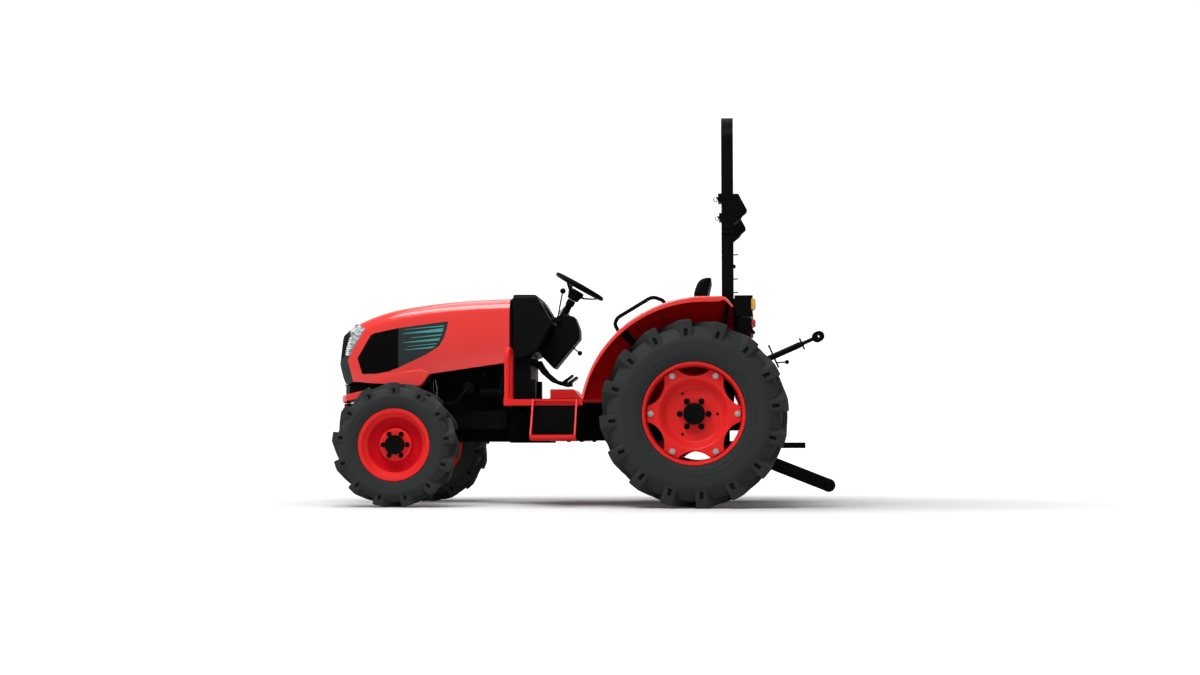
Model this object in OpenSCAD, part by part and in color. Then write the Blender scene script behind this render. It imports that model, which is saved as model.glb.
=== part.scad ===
// Compact farm tractor with four driven wheels, a tilting bonnet, a folding
// roll bar and a rear three-point linkage.
// X points forward, Y to the left, Z up from the ground. Everything is laid out
// from the rear axle, and place() then centres the tractor on the origin.

/* [Stance] */
// Distance between the front and the rear axle
wheelbase = 1970; // [1940:5:2100]
// Distance between the middles of the rear tyres
rear_track = 1400; // [1390:5:1500]
// Distance between the middles of the front tyres
front_track = 1350; // [1340:5:1450]

/* [Rear wheels] */
// Diameter over the lugs
rear_tyre_d = 1220; // [1200:5:1240]
// Width of the tyre
rear_tyre_w = 340; // [320:5:345]
// Diameter of the rim flange
rear_rim_d = 680; // [660:5:690]
// Width of the rim
rear_rim_w = 290; // [270:5:292]
// Height of the tread lugs
rear_lug_h = 38; // [25:1:45]
// Lugs on each half of the tread
rear_lugs = 16; // [12:1:18]
// Diameter of the hub's nose
rear_hub_d = 142; // [130:2:150]

/* [Front wheels] */
// Diameter over the lugs
front_tyre_d = 820; // [800:5:840]
// Width of the tyre
front_tyre_w = 240; // [220:5:245]
// Diameter of the rim flange
front_rim_d = 482; // [470:2:490]
// Width of the rim
front_rim_w = 200; // [190:2:204]
// Height of the tread lugs
front_lug_h = 30; // [20:1:34]
// Lugs on each half of the tread
front_lugs = 13; // [10:1:15]
// Diameter of the hub's nose
front_hub_d = 124; // [110:2:130]

/* [Bonnet and cowl] */
// Height of the bonnet's rear edge
bonnet_top = 1425; // [1400:5:1450]
// Reach of the nose ahead of the front axle
nose_ahead = 505; // [490:1:520]
// Half width of the bonnet at its rear edge
bonnet_half_w = 305; // [290:5:320]
// Thickness of the bonnet's wall
bonnet_wall = 10; // [6:1:14]
// Front face of the cowl, ahead of the rear axle
cowl_front = 1256; // [1246:2:1266]

/* [Operator station] */
// Height of the platform's floor
floor_h = 712; // [700:2:730]
// Half width of the platform
floor_half_w = 600; // [580:5:620]
// Front edge of the platform, ahead of the rear axle
floor_front = 1267; // [1260:1:1280]
// Height of the seat deck
deck_h = 966; // [962:1:980]
// Diameter of the steering wheel
steering_wheel_d = 380; // [340:5:400]
// Lean of the steering column from the vertical
column_lean = 29.6; // [25:0.1:34]

/* [Fenders and roll bar] */
// Gap between the rear tyre and the fender's top
fender_gap = 155; // [120:5:180]
// Radius of the fender's sweep
fender_r = 822; // [800:2:840]
// Inner face of the fender, from the middle of the tractor
fender_in = 505; // [500:1:510]
// Outer edge of the fender, from the middle of the tractor
fender_out = 800; // [760:5:840]
// Height of the roll bar
rops_h = 2630; // [2450:10:2700]
// Height of the roll bar's fold
fold_h = 1940; // [1880:5:1980]
// Depth of the roll bar's tube along the tractor
rops_tube_x = 80; // [70:1:86]
// Width of the roll bar's tube across the tractor
rops_tube_y = 50; // [40:1:56]

/* [Linkage] */
// Length of a lower link between its ball centres
link_len = 898; // [860:2:920]
// Slope of a lower link below the level
link_slope = 21.5; // [18:0.1:23]
// Length of the top link between its eyes
top_link_len = 567; // [540:1:600]
// Slope of the top link above the level
top_link_slope = 23.8; // [15:0.1:30]
// Bore of a lower link's ball
ball_bore_d = 22.6; // [22.4:0.1:28.7]
// Bore of the top link's eye
top_bore_d = 19.4; // [19.3:0.1:25.6]
// Diameter of the power take-off shaft
pto_d = 34.9; // [34.9:0.1:35.1]
// Bore for the drawbar's pin
drawbar_bore_d = 33; // [26:1:34]

/* [Hidden] */
$fn = 64;
// Running clearance of shafts in their bores
fit = 0.1;
// Resting clearance between pieces that lie against each other
seat = 0.3;

rear_r = rear_tyre_d / 2;
front_r = front_tyre_d / 2;

// Colours
red = "#dc3a30";
black = "#16191a";
grey = "#2c3438";
rubber = "#2e3233";
steel = "#9a9c9e";

// Overall reach, which sets where the rear axle lies in the part's frame
link_eye_r = 45;
lower_pivot = [-50, 470];
link_end = [
    lower_pivot[0] - link_len * cos(link_slope),
    lower_pivot[1] - link_len * sin(link_slope)
];
bonnet_front = wheelbase + nose_ahead;
rear_axle_x = -(bonnet_front + link_end[0] - link_eye_r) / 2;

module place() { translate([rear_axle_x, 0, 0]) children(); }

// Draws its children on the left, or mirrored on the right
module on_side(s) { if (s > 0) children(); else mirror([0, 1, 0]) children(); }

module on_both() { for (s = [1, -1]) on_side(s) children(); }

// A box between two corners
module block(a, b) { translate(a) cube(b - a); }

// A side outline in X and Z, drawn between two distances from the middle
module plate(outline, y0, y1) {
    translate([0, y1, 0]) rotate([90, 0, 0]) linear_extrude(y1 - y0) polygon(outline);
}

// A front outline in Y and Z, drawn between two stations along the tractor
module slab(outline, x0, x1) {
    translate([x0, 0, 0]) rotate([90, 0, 90]) linear_extrude(x1 - x0) polygon(outline);
}

// A plan outline in X and Y, drawn between two heights
module plate_top(z0, z1, outline) { translate([0, 0, z0]) linear_extrude(z1 - z0) polygon(outline); }

// A round bar between two points
module bar(a, b, r) {
    d = b - a;
    translate(a) rotate([0, acos(d[2] / norm(d)), atan2(d[1], d[0])]) cylinder(h = norm(d), r = r);
}

// A round bar along Y
module cross_bar(x, z, y0, y1, r) { bar([x, y0, z], [x, y1, z], r); }

// A bent round bar through a list of points
module bent_bar(points, r) {
    for (i = [0 : len(points) - 2]) bar(points[i], points[i + 1], r, $fn = 32);
    for (i = [1 : len(points) - 2]) translate(points[i]) sphere(r + 0.5, $fn = 32);
}

function arc(cx, cy, r, a0, a1, n) =
    [for (i = [0 : n]) let (a = a0 + (a1 - a0) * i / n) [cx + r * cos(a), cy + r * sin(a)]];
function reversed(list) = [for (i = [len(list) - 1 : -1 : 0]) list[i]];
function mirrored(list) = [for (p = reversed(list)) [p[0], -p[1]]];

// Tyres

crown_wall = 70;
side_wall = 26;
flange_h = 24;
flange_t = 8;

// Outline of half a tyre in radius and width, from the bead to the crown
function tyre_outside(crown_r, rim_r, w, rim_w) = [
    [rim_r - flange_h + seat, rim_w / 2 - flange_t - seat],
    [rim_r + seat, rim_w / 2 - flange_t - seat],
    [rim_r + 14, rim_w / 2 + 4],
    [rim_r + 0.35 * (crown_r - rim_r), w / 2 - 2],
    [rim_r + 0.55 * (crown_r - rim_r), w / 2],
    [rim_r + 0.78 * (crown_r - rim_r), w / 2 - 6],
    [crown_r - 24, w / 2 - 22],
    [crown_r - 8, w / 2 - 52],
    [crown_r, w / 6]
];
function tyre_inside(crown_r, rim_r, w, rim_w) = [
    [rim_r - flange_h + seat, rim_w / 2 - flange_t - seat - side_wall],
    [rim_r + 0.45 * (crown_r - rim_r), w / 2 - side_wall],
    [crown_r - crown_wall - 12, w / 2 - 2 * side_wall],
    [crown_r - crown_wall, w / 6]
];

lug_root = 55;
lug_past_mid = 10;
lug_proud = 2;

// One slanted tread lug, from past the tyre's middle back to its shoulder
module lug(r, w, h, lugs) {
    pitch = 360 / lugs;
    reach = r * pitch * PI / 360;
    inner_w = 0.27 * reach * 2;
    outer_w = 0.33 * reach * 2;
    half = 0.96 * reach;
    root = r - h - lug_root;
    translate([root, 0, 0]) rotate([90, 0, 90]) linear_extrude(r + 40 - root) polygon([
        [half, -lug_past_mid], [outer_w - half, w / 2 - lug_proud], [-half, w / 2 - lug_proud],
        [half - inner_w, -lug_past_mid]
    ]);
}

// Two rows of lugs, set half a pitch apart and cut off at the tread's radius
module tread(r, w, h, lugs) {
    pitch = 360 / lugs;
    intersection() {
        translate([0, 0, -w]) cylinder(h = 2 * w, r = r, $fn = 128);
        for (i = [0 : lugs - 1]) {
            rotate([0, 0, i * pitch]) lug(r, w, h, lugs);
            rotate([0, 0, (i + 0.5) * pitch]) mirror([0, 0, 1]) lug(r, w, h, lugs);
        }
    }
}

module tyre(d, w, rim_d, rim_w, lug_h, lugs) {
    crown_r = d / 2 - lug_h;
    outside = tyre_outside(crown_r, rim_d / 2, w, rim_w);
    inside = tyre_inside(crown_r, rim_d / 2, w, rim_w);
    color(rubber) {
        rotate_extrude($fn = 128)
            polygon(concat(outside, mirrored(outside), [for (p = inside) [p[0], -p[1]]], reversed(inside)));
        tread(d / 2, w, lug_h, lugs);
    }
}

module rear_tyre() { tyre(rear_tyre_d, rear_tyre_w, rear_rim_d, rear_rim_w, rear_lug_h, rear_lugs); }
module front_tyre() { tyre(front_tyre_d, front_tyre_w, front_rim_d, front_rim_w, front_lug_h, front_lugs); }

// Puts a wheel, drawn about Z with its outer face up, on its axle
module on_axle(x, track, r) { translate([x, track / 2, r]) rotate([-90, 0, 0]) children(); }
module at_rear() { on_axle(0, rear_track, rear_r) children(); }
module at_front() { on_axle(wheelbase, front_track, front_r) children(); }

// Section of a rim barrel in radius and width
function rim_half(rim_r, rim_w, well) = [
    [rim_r, rim_w / 2], [rim_r, rim_w / 2 - flange_t], [rim_r - flange_h, rim_w / 2 - flange_t],
    [rim_r - flange_h, rim_w / 2 - 50], [rim_r - flange_h - well, rim_w / 2 - 75]
];
function rim_half_in(rim_r, rim_w, well, t) = [
    [rim_r - t, rim_w / 2], [rim_r - flange_h - t, rim_w / 2 - flange_t],
    [rim_r - flange_h - t, rim_w / 2 - 50], [rim_r - flange_h - well - t, rim_w / 2 - 75]
];
module rim_barrel(rim_r, rim_w, well, t) {
    outer = rim_half(rim_r, rim_w, well);
    inner = rim_half_in(rim_r, rim_w, well, t);
    rotate_extrude($fn = 128)
        polygon(concat(outer, mirrored(outer), [for (p = inner) [p[0], -p[1]]], reversed(inner)));
}

// Rear wheel: a rim and a dished disc bolted to six tabs on it

rim_t = 8;
rear_well = 14;
disc_t = 12;
disc_lobe_y = 85;
disc_floor_y = 25;
disc_windows = 6;
rear_rim_in = rear_rim_d / 2 - flange_h - rear_well - rim_t;
bolt_r = rear_rim_in - 14;
tab_w = 62;
nut_r = 94;

module rear_disc() {
    dish_r = 180;
    dish_top_r = 232;
    difference() {
        rotate_extrude($fn = 128) polygon([
            [rear_hub_d / 2 + seat, disc_floor_y], [dish_r, disc_floor_y], [dish_top_r, disc_lobe_y],
            [rear_rim_in - seat, disc_lobe_y], [rear_rim_in - seat, disc_lobe_y + disc_t],
            [dish_top_r - 6, disc_lobe_y + disc_t], [dish_r - 6, disc_floor_y + disc_t],
            [rear_hub_d / 2 + seat, disc_floor_y + disc_t]
        ]);
        for (i = [0 : disc_windows - 1]) rotate([0, 0, 30 + 60 * i])
            translate([400, 0, 0]) cylinder(h = 3 * disc_lobe_y, r = 155);
        for (i = [0 : 2]) rotate([0, 0, 120 * i]) translate([152, 0, 0])
            cylinder(h = 3 * disc_lobe_y, r = 10);
    }
}

module rear_wheel() {
    color(red) {
        rim_barrel(rear_rim_d / 2, rear_rim_w, rear_well, rim_t);
        for (i = [0 : disc_windows - 1]) rotate([0, 0, 60 * i])
            block([rear_rim_in - 44, -tab_w / 2, disc_lobe_y - disc_t],
                [rear_rim_in + 4, tab_w / 2, disc_lobe_y]);
        rear_disc();
    }
}

// Front wheel: a rim welded to a raised disc

front_well = 8;
front_disc_y = 35;
front_disc_t = 10;
front_rim_in = front_rim_d / 2 - flange_h - front_well - rim_t;

module front_wheel() {
    bolt_seat_r = 125;
    valley_r = 168;
    color(red) {
        rim_barrel(front_rim_d / 2, front_rim_w, front_well, rim_t);
        rotate_extrude($fn = 128) polygon([
            [front_hub_d / 2 + seat, front_disc_y], [bolt_seat_r, front_disc_y], [valley_r - 12, 8],
                [front_rim_in + 4, 8],
            [front_rim_in + 4, 8 + front_disc_t], [valley_r - 6, 8 + front_disc_t],
            [bolt_seat_r + 6, front_disc_y + front_disc_t],
                [front_hub_d / 2 + seat, front_disc_y + front_disc_t]
        ]);
    }
}

// Axles and hubs

tube_end = 500;
tube_r = 88;
rear_shaft_r = 45;
rear_shaft_in = 110;
flange_y = disc_floor_y - 20;

module rear_hub() {
    shaft_start = tube_end - rear_shaft_in - rear_track / 2;
    body_start = tube_end + 5 - rear_track / 2;
    color(black) {
        translate([0, 0, shaft_start]) cylinder(h = disc_floor_y - shaft_start, r = rear_shaft_r);
        translate([0, 0, body_start]) cylinder(h = flange_y - body_start, r = 66);
        translate([0, 0, flange_y]) cylinder(h = disc_floor_y - flange_y, r = 125);
        translate([0, 0, flange_y]) cylinder(h = 75, r = rear_hub_d / 2);
    }
}

kingpin_y = front_track / 2 - 155;
kingpin_r = 22;
knuckle_r = 58;
knuckle_h = 75;
front_shaft_r = 32;
knuckle_face = front_track / 2 - 63;
arm_len = 120;
arm_top = front_r - 38;

module front_hub() {
    shaft_start = kingpin_y + 30 - front_track / 2;
    face = front_disc_y - 18;
    color(black) {
        translate([0, 0, shaft_start]) cylinder(h = front_disc_y - shaft_start, r = front_shaft_r);
        translate([0, 0, knuckle_face + 2 - front_track / 2])
            cylinder(h = face - knuckle_face - 2 + front_track / 2, r = 52);
        translate([0, 0, face]) cylinder(h = front_disc_y - face, r = 104);
        translate([0, 0, face]) cylinder(h = 72, r = front_hub_d / 2);
    }
}

ear_gap = 1;
ear_t = 28;

// Knuckle that turns on its kingpins between the axle's ears and carries the hub
module knuckle() {
    color(black) difference() {
        union() {
            translate([wheelbase, kingpin_y, front_r - knuckle_h]) cylinder(h = 2 * knuckle_h, r = knuckle_r);
            translate([wheelbase, kingpin_y, front_r - knuckle_h - ear_gap - ear_t])
                cylinder(h = 2 * (knuckle_h + ear_gap + ear_t), r = kingpin_r);
            cross_bar(wheelbase, front_r, kingpin_y, knuckle_face, 56);
            block([wheelbase - arm_len, kingpin_y - 20, arm_top - 24], [wheelbase, kingpin_y + 20, arm_top]);
            translate([wheelbase - arm_len, kingpin_y, arm_top - 24]) cylinder(h = 24, r = 26);
        }
        cross_bar(wheelbase, front_r, kingpin_y + 28, knuckle_face + 10, front_shaft_r + fit);
    }
}

pivot_pin_r = 26;
pivot_z = front_r + 50;
hanger_x = 76;
hanger_t = 24;
cylinder_x = wheelbase - arm_len;
cylinder_half = 170;
rod_r = 14;
rod_z = arm_top + 18;

// Driven front axle: middle housing, two tubes, and ears that hold the knuckles
module front_axle() {
    web_y = kingpin_y - knuckle_r - 22;
    color(black) difference() {
        union() {
            block([wheelbase - hanger_x + 4, -95, front_r - 70],
                [wheelbase + hanger_x - 4, 95, front_r + 95]);
            translate([wheelbase, 0, front_r - 40]) sphere(88);
            cross_bar(wheelbase, front_r, -web_y, web_y, 50);
            on_both() {
                block(
                    [wheelbase - 46, web_y - 24, front_r - knuckle_h - ear_gap - ear_t],
                    [wheelbase + 46, web_y, front_r + knuckle_h + ear_gap + ear_t]
                );
                for (z = [front_r + knuckle_h + ear_gap, front_r - knuckle_h - ear_gap - ear_t]) {
                    block([wheelbase - 46, web_y - 24, z], [wheelbase + 46, kingpin_y, z + ear_t]);
                    translate([wheelbase, kingpin_y, z]) cylinder(h = ear_t, r = 46);
                }
            }
            bar([wheelbase - hanger_x - hanger_t, 0, pivot_z],
                [wheelbase + hanger_x + hanger_t, 0, pivot_z], pivot_pin_r);
            block([cylinder_x - 10, -60, rod_z - 34], [wheelbase - hanger_x + 6, 60, rod_z + 10]);
            cross_bar(cylinder_x, rod_z, -cylinder_half, cylinder_half, 32);
        }
        on_both() translate([wheelbase, kingpin_y, 0]) cylinder(h = 2 * front_r, r = kingpin_r + fit);
        cross_bar(cylinder_x, rod_z, -cylinder_half - 10, cylinder_half + 10, rod_r + fit);
    }
}

// Through rod of the steering cylinder, with an end over each knuckle's arm
module steering_rod() {
    color(steel) {
        cross_bar(cylinder_x, rod_z, -kingpin_y, kingpin_y, rod_r);
        on_both() translate([cylinder_x, kingpin_y, arm_top + 1]) cylinder(h = 34, r = 24);
    }
}

// Frame, engine and transmission

rail_in = 150;
rail_out = 185;
rail_z0 = 520;
rail_z1 = 644;
engine_rear = 1280;
engine_front = 1850;
rail_front = bonnet_front - 37;
bolster_top = 696;

module front_frame() {
    bolster_rear = wheelbase + hanger_x + hanger_t + 30;
    color(black) difference() {
        union() {
            on_both() block([engine_rear + 20, rail_in, rail_z0], [rail_front, rail_out, rail_z1]);
            block([bolster_rear, -rail_out, rail_z0], [rail_front, rail_out, bolster_top]);
            block([wheelbase - hanger_x - hanger_t, -rail_out, rail_z0], [bolster_rear, rail_out, rail_z1]);
            for (x = [wheelbase - hanger_x - hanger_t, wheelbase + hanger_x])
                block([x, -70, pivot_z - 40], [x + hanger_t, 70, rail_z0 + 5]);
            block([rail_front - 10, -60, rail_z0 + 10], [bonnet_front, 60, bolster_top - 40]);
        }
        bar([wheelbase - 150, 0, pivot_z], [wheelbase + 150, 0, pivot_z], pivot_pin_r + fit);
        translate([bonnet_front - 24, 0, 0]) cylinder(h = 1000, r = 13);
    }
}

bumper_h = 64;
bumper_half = 235;

module front_bumper() {
    color(red) plate_top(bolster_top, bolster_top + bumper_h, [
        [bonnet_front - 200, -bumper_half], [bonnet_front - 60, -bumper_half],
            [bonnet_front - 8, -bumper_half + 70],
        [bonnet_front - 8, bumper_half - 70], [bonnet_front - 60, bumper_half],
            [bonnet_front - 200, bumper_half]
    ]);
}

chin_half = 200;
chin_drop = 600;

// Dark filler between the bumper and the bonnet's nose
module chin() {
    color(black) plate_top(bolster_top + bumper_h + seat, bonnet_top - chin_drop, [
        [bonnet_front - 190, -chin_half], [bonnet_front - 78, -chin_half],
            [bonnet_front - 34, -chin_half + 75],
        [bonnet_front - 34, chin_half - 75], [bonnet_front - 78, chin_half], [bonnet_front - 190, chin_half]
    ]);
}

sump_half = 140;
sump_bottom = 432;
sump_ribs = 6;
engine_half = 185;
crankcase_half = 160;
crankcase_top = 960;
head_top = 1080;
engine_top = 1130;
radiator_x = 1900;
radiator_half = 230;
radiator_top = 1170;

// Engine with its radiator, manifolds, alternator, starter and filters
module engine_block() {
    sump_front = wheelbase - hanger_x - hanger_t - 20;
    color(black) {
        block([engine_rear, -crankcase_half, rail_z1 + seat],
            [engine_front - 60, crankcase_half, crankcase_top]);
        block([engine_rear, -engine_half, rail_z1 + seat],
            [engine_rear + 50, engine_half, crankcase_top - 60]);
        block([engine_rear + 20, -135, crankcase_top - 1], [engine_front - 80, 135, head_top]);
        block([engine_rear + 40, -95, head_top - 1], [engine_front - 100, 95, engine_top]);
        block([engine_rear, -sump_half, sump_bottom], [sump_front, sump_half, rail_z1 + 1]);
        on_both() for (i = [0 : sump_ribs - 1])
            block([1474 + 27 * i, sump_half - 1, 440], [1484 + 27 * i, sump_half + 24, 516]);
        // Radiator with its shroud, fan and hoses
        block([radiator_x, -radiator_half, rail_z1 + seat], [radiator_x + 60, radiator_half, radiator_top]);
        block([radiator_x - 30, -200, 740], [radiator_x + 1, 200, 1150]);
        bar([engine_front - 65, 0, 930], [radiator_x - 25, 0, 930], 60);
        bar([engine_front - 90, 60, 1060], [radiator_x + 10, 90, 1110], 24);
        // Alternator, starter and oil filter on the left
        bar([1690, 214, 1000], [1830, 214, 1000], 56);
        block([1710, crankcase_half - 1, 920], [1790, 200, 985]);
        bar([engine_rear + 12, 200, 760], [engine_rear + 200, 200, 760], 46);
        cross_bar(1560, 800, crankcase_half - 1, 252, 44);
        // Intake on the left and exhaust on the right of the head
        on_both() {
            bar([engine_rear + 90, 186, 1020], [1660, 186, 1020], 32);
            for (i = [0 : 3]) cross_bar(engine_rear + 110 + 85 * i, 1020, 130, 186, 22);
        }
        bar([engine_rear + 60, -214, 1100], [1700, -214, 1100], 58);
        bar([1600, -200, 1020], [1600, -212, 1080], 30);
    }
}

case_front = 230;
case_half = 180;
case_bottom = 432;
gearbox_half = 150;
gearbox_top = floor_h - 12 - seat;

module gearbox() {
    color(black) {
        block([case_front, -gearbox_half, 440], [1000, gearbox_half, gearbox_top]);
        block([1000, -engine_half, 425], [engine_rear, engine_half, gearbox_top]);
    }
}

case_rear = -230;
lift_top = deck_h - 6 - seat;
case_top = lift_top - 160;
lift_front = 60;
lift_half = 150;
rocker = [-130, deck_h - 86];
rocker_r = 26;
pto_z = 570;
pto_len = 85;
top_pivot = [-330, deck_h - 34];
top_pin_r = 9.5;
link_y0 = 330;
link_t = 20;
pin_r = 14;
drawbar_z0 = 388;
drawbar_h = 39;
drawbar_half = 30;
hanger_rear = case_rear - 30;
post_pad = 700;

module rear_axle() {
    color(black) difference() {
        union() {
            block([case_rear, -case_half, case_bottom], [case_front, case_half, case_top]);
            block([case_rear, -lift_half, case_top - 1], [lift_front, lift_half, lift_top]);
            cross_bar(0, rear_r, -tube_end, tube_end, tube_r);
            on_both() {
                block([-tube_r, 395, rear_r], [tube_r, tube_end, post_pad]);
                cross_bar(0, rear_r, rops_out + 2, tube_end, 108);
                block([case_rear + 150, case_half - 5, 445], [case_rear + 230, link_y0 - 12, 495]);
                cross_bar(lower_pivot[0], lower_pivot[1], case_half - 5, link_y0 + link_t + 12, pin_r);
                block([top_pivot[0] - 30, 26, top_pivot[1] - 45], [case_rear + 5, 40, lift_top]);
            }
            cross_bar(top_pivot[0], top_pivot[1], -40, 40, top_pin_r);
            cross_bar(rocker[0], rocker[1], -lift_half - 8, lift_half + 8, 44);
            bar([case_rear + 5, 0, pto_z], [case_rear - 12, 0, pto_z], 55);
            bar([case_rear, 0, pto_z], [case_rear - 12 - pto_len, 0, pto_z], pto_d / 2);
            block([hanger_rear, -drawbar_half - 25, drawbar_z0 - 20],
                [case_rear + 40, drawbar_half + 25, case_bottom + 5]);
        }
        cross_bar(rocker[0], rocker[1], -500, 500, rocker_r + fit);
        on_both() cross_bar(0, rear_r, tube_end - rear_shaft_in - 4, tube_end + 10, rear_shaft_r + fit);
        block(
            [hanger_rear - 1, -drawbar_half - seat, drawbar_z0 - seat],
            [case_rear + 41, drawbar_half + seat, drawbar_z0 + drawbar_h + seat]
        );
    }
}

module pto_guard() {
    z1 = pto_z + 110;
    half = 95;
    color(black) difference() {
        block([case_rear - 150, -half, pto_z - 60], [case_rear, half, z1]);
        block([case_rear - 151, -half + 6, pto_z - 61], [case_rear + 1, half - 6, z1 - 6]);
    }
}

drawbar_end = -748;
drawbar_pin_x = drawbar_end + 38;

module drawbar() {
    color(black) difference() {
        block([drawbar_end, -drawbar_half, drawbar_z0], [60, drawbar_half, drawbar_z0 + drawbar_h]);
        translate([drawbar_pin_x, 0, drawbar_z0 - 1]) cylinder(h = drawbar_h + 2, r = drawbar_bore_d / 2);
    }
}

// Bonnet: a shell lofted through stations from its rear edge to its nose

bonnet_gap = 14;
bonnet_rear = cowl_front + bonnet_gap;
bonnet_len = bonnet_front - bonnet_rear;
stations = [0, 0.17, 0.333, 0.457, 0.5, 0.669, 0.804, 0.86, 0.905, 0.945, 0.977, 1];
// Drop of the top line below the rear edge, along the bonnet
top_drop = [[0, 0], [0.17, 7], [0.333, 20], [0.5, 43], [0.669, 76], [0.804, 124], [0.905, 178],
    [0.977, 236], [1, 432]];
// Drop of the bottom edge below the top of the rear edge
bottom_drop = [[0, 450], [0.457, 529], [0.5, 612], [0.804, 590], [0.896, 578], [0.958, 593], [1, 593]];
// Share of the half width that the bonnet keeps along its length
width_share = [[0, 1], [0.333, 1.02], [0.669, 1], [0.86, 0.93], [0.945, 0.82], [1, 0.66]];
crease_drop = 82;
shoulder = 88;
// The nose slopes back below this drop, this much for each length down
slope_drop = 455;
nose_slope = 0.34;

function station_x(t) = bonnet_rear + t * bonnet_len;
function top_z(t) = bonnet_top - lookup(t, top_drop);
function bottom_z(t) = bonnet_top - lookup(t, bottom_drop);
function half_w(t) = bonnet_half_w * lookup(t, width_share);
function crease_z(t) = max(bottom_z(t) + 12, top_z(t) - crease_drop);

// Half a cross-section of the bonnet, drawn in by a wall
function bonnet_half(t, wall, sink) =
    let (w = half_w(t) - wall, zt = top_z(t) - wall, zc = crease_z(t), zb = bottom_z(t) - sink) [
    [w - 14, zb], [w, zb + 0.55 * (zc - zb)], [w - 8, zc - 0.4 * wall],
    [w - 40, zt - 0.3 * (zt - zc)], [w - shoulder, zt - 10], [0.4 * w, zt - 3]
];
function slope_back(t, z) =
    nose_slope * lookup(t, [[0.9, 0], [1, 1]]) * max(0, bonnet_top - slope_drop - z);
function bonnet_ring(x, t, wall, sink) = let (half = bonnet_half(t, wall, sink)) concat(
    [for (p = half) [x - slope_back(t, p[1]), p[0], p[1]]],
    [[x, 0, top_z(t) - wall]],
    [for (p = reversed(half)) [x - slope_back(t, p[1]), -p[0], p[1]]]
);

// A solid through rings of points that all have the same count
module loft(rings) {
    n = len(rings[0]);
    last = len(rings) - 1;
    points = [for (ring = rings) each ring];
    sides = [for (i = [0 : last - 1]) for (j = [0 : n - 1]) let (a = i * n + j, b = i * n + (j + 1) % n)
        each [[a, b + n, b], [a, a + n, b + n]]];
    first_cap = [for (j = [0 : n - 1]) j];
    half = (n - 1) / 2;
    // The end is closed by level strips from one side to the other
    last_cap = concat(
        [for (j = [0 : half - 2]) let (a = last * n + j, b = last * n + n - 1 - j)
            each [[a, b, b - 1], [a, b - 1, a + 1]]],
        [[last * n + half - 1, last * n + half + 1, last * n + half]]
    );
    polyhedron(points, concat(sides, [first_cap], last_cap));
}

module bonnet_shell() {
    difference() {
        loft([for (t = stations) bonnet_ring(station_x(t), t, 0, 0)]);
        loft(concat(
            [bonnet_ring(bonnet_rear - 40, 0, bonnet_wall, 200)],
            [for (t = stations) bonnet_ring(station_x(t) - bonnet_wall, t, bonnet_wall, 200)]
        ));
    }
}

// Places on the side of the bonnet, by share of its length and drop from its rear edge
function on_bonnet(t, drop) = [station_x(t), bonnet_top - drop];

side_grille_outline = [
    on_bonnet(0.878, 418), on_bonnet(0.799, 258), on_bonnet(0.777, 246), on_bonnet(0.636, 212),
    on_bonnet(0.636, 485), on_bonnet(0.692, 511), on_bonnet(0.77, 527), on_bonnet(0.85, 527)
];
side_panel_outline = [
    on_bonnet(0.636, 212), on_bonnet(0.35, 168), on_bonnet(0.358, 220), on_bonnet(0.375, 286),
    on_bonnet(0.402, 338), on_bonnet(0.454, 380), on_bonnet(0.511, 417), on_bonnet(0.636, 485)
];
nose_outline = [
    on_bonnet(0.896, 170), on_bonnet(0.834, 212), on_bonnet(0.939, 429), on_bonnet(0.896, 620),
    on_bonnet(1.1, 620), on_bonnet(1.1, 170)
];
lamp_outline = [
    on_bonnet(0.885, 150), on_bonnet(0.82, 205), on_bonnet(0.918, 398), on_bonnet(0.959, 394),
    on_bonnet(0.928, 255), on_bonnet(0.936, 215), on_bonnet(0.916, 160)
];
lamp_in = 105;
hinge_r = 5;
hinge_half = 120;
bonnet_hinge = [cowl_front + bonnet_gap / 2, bonnet_top - 5];

module through(outline) { plate(outline, -500, 500); }

module hood() {
    color(red) {
        difference() {
            bonnet_shell();
            through(side_grille_outline);
            through(side_panel_outline);
            through(nose_outline);
        }
        on_both() {
            cross_bar(bonnet_hinge[0], bonnet_hinge[1], hinge_half / 2 + seat, hinge_half, hinge_r);
            block(
                [bonnet_hinge[0], hinge_half / 2 + seat, bonnet_hinge[1] - hinge_r],
                [bonnet_rear + 6, hinge_half, bonnet_hinge[1] - 1]
            );
        }
    }
}

slot_pitch = 13;
slot_gap = 6.5;
slot_border = 12;

// Level slots inside an outline, cut right across
module slots(outline) {
    low = min([for (p = outline) p[1]]) + slot_border;
    high = max([for (p = outline) p[1]]) - slot_border;
    translate([0, 500, 0]) rotate([90, 0, 0]) linear_extrude(1000) intersection() {
        offset(delta = -slot_border) polygon(outline);
        for (z = [low : slot_pitch : high]) translate([0, z - slot_gap / 2])
            square([2 * bonnet_front, slot_gap]);
    }
}

module side_grilles() {
    color(black) difference() {
        intersection() { bonnet_shell(); through(side_grille_outline); }
        slots(side_grille_outline);
    }
}

module side_panels() { color(grey) intersection() { bonnet_shell(); through(side_panel_outline); } }

module lamp_zone() { on_both() plate(lamp_outline, lamp_in, 500); }

nose_slots = 13;

module nose_grille() {
    color(grey) difference() {
        intersection() { bonnet_shell(); through(nose_outline); }
        lamp_zone();
        for (i = [0 : nose_slots - 1])
            block(
                [bonnet_front - 110, -88, bonnet_top - 262 - 15 * i],
                [bonnet_front + 50, 88, bonnet_top - 254 - 15 * i]
            );
    }
}

module headlamps() { color("white") intersection() { bonnet_shell(); through(nose_outline); lamp_zone(); } }

// Cowl, steering and controls

cowl_half = 285;
wall_half = 222;
wall_rear = 1130;
cowl_rear_top = [974, 1234];
cowl_rear_low = [1076, 1051];

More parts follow.
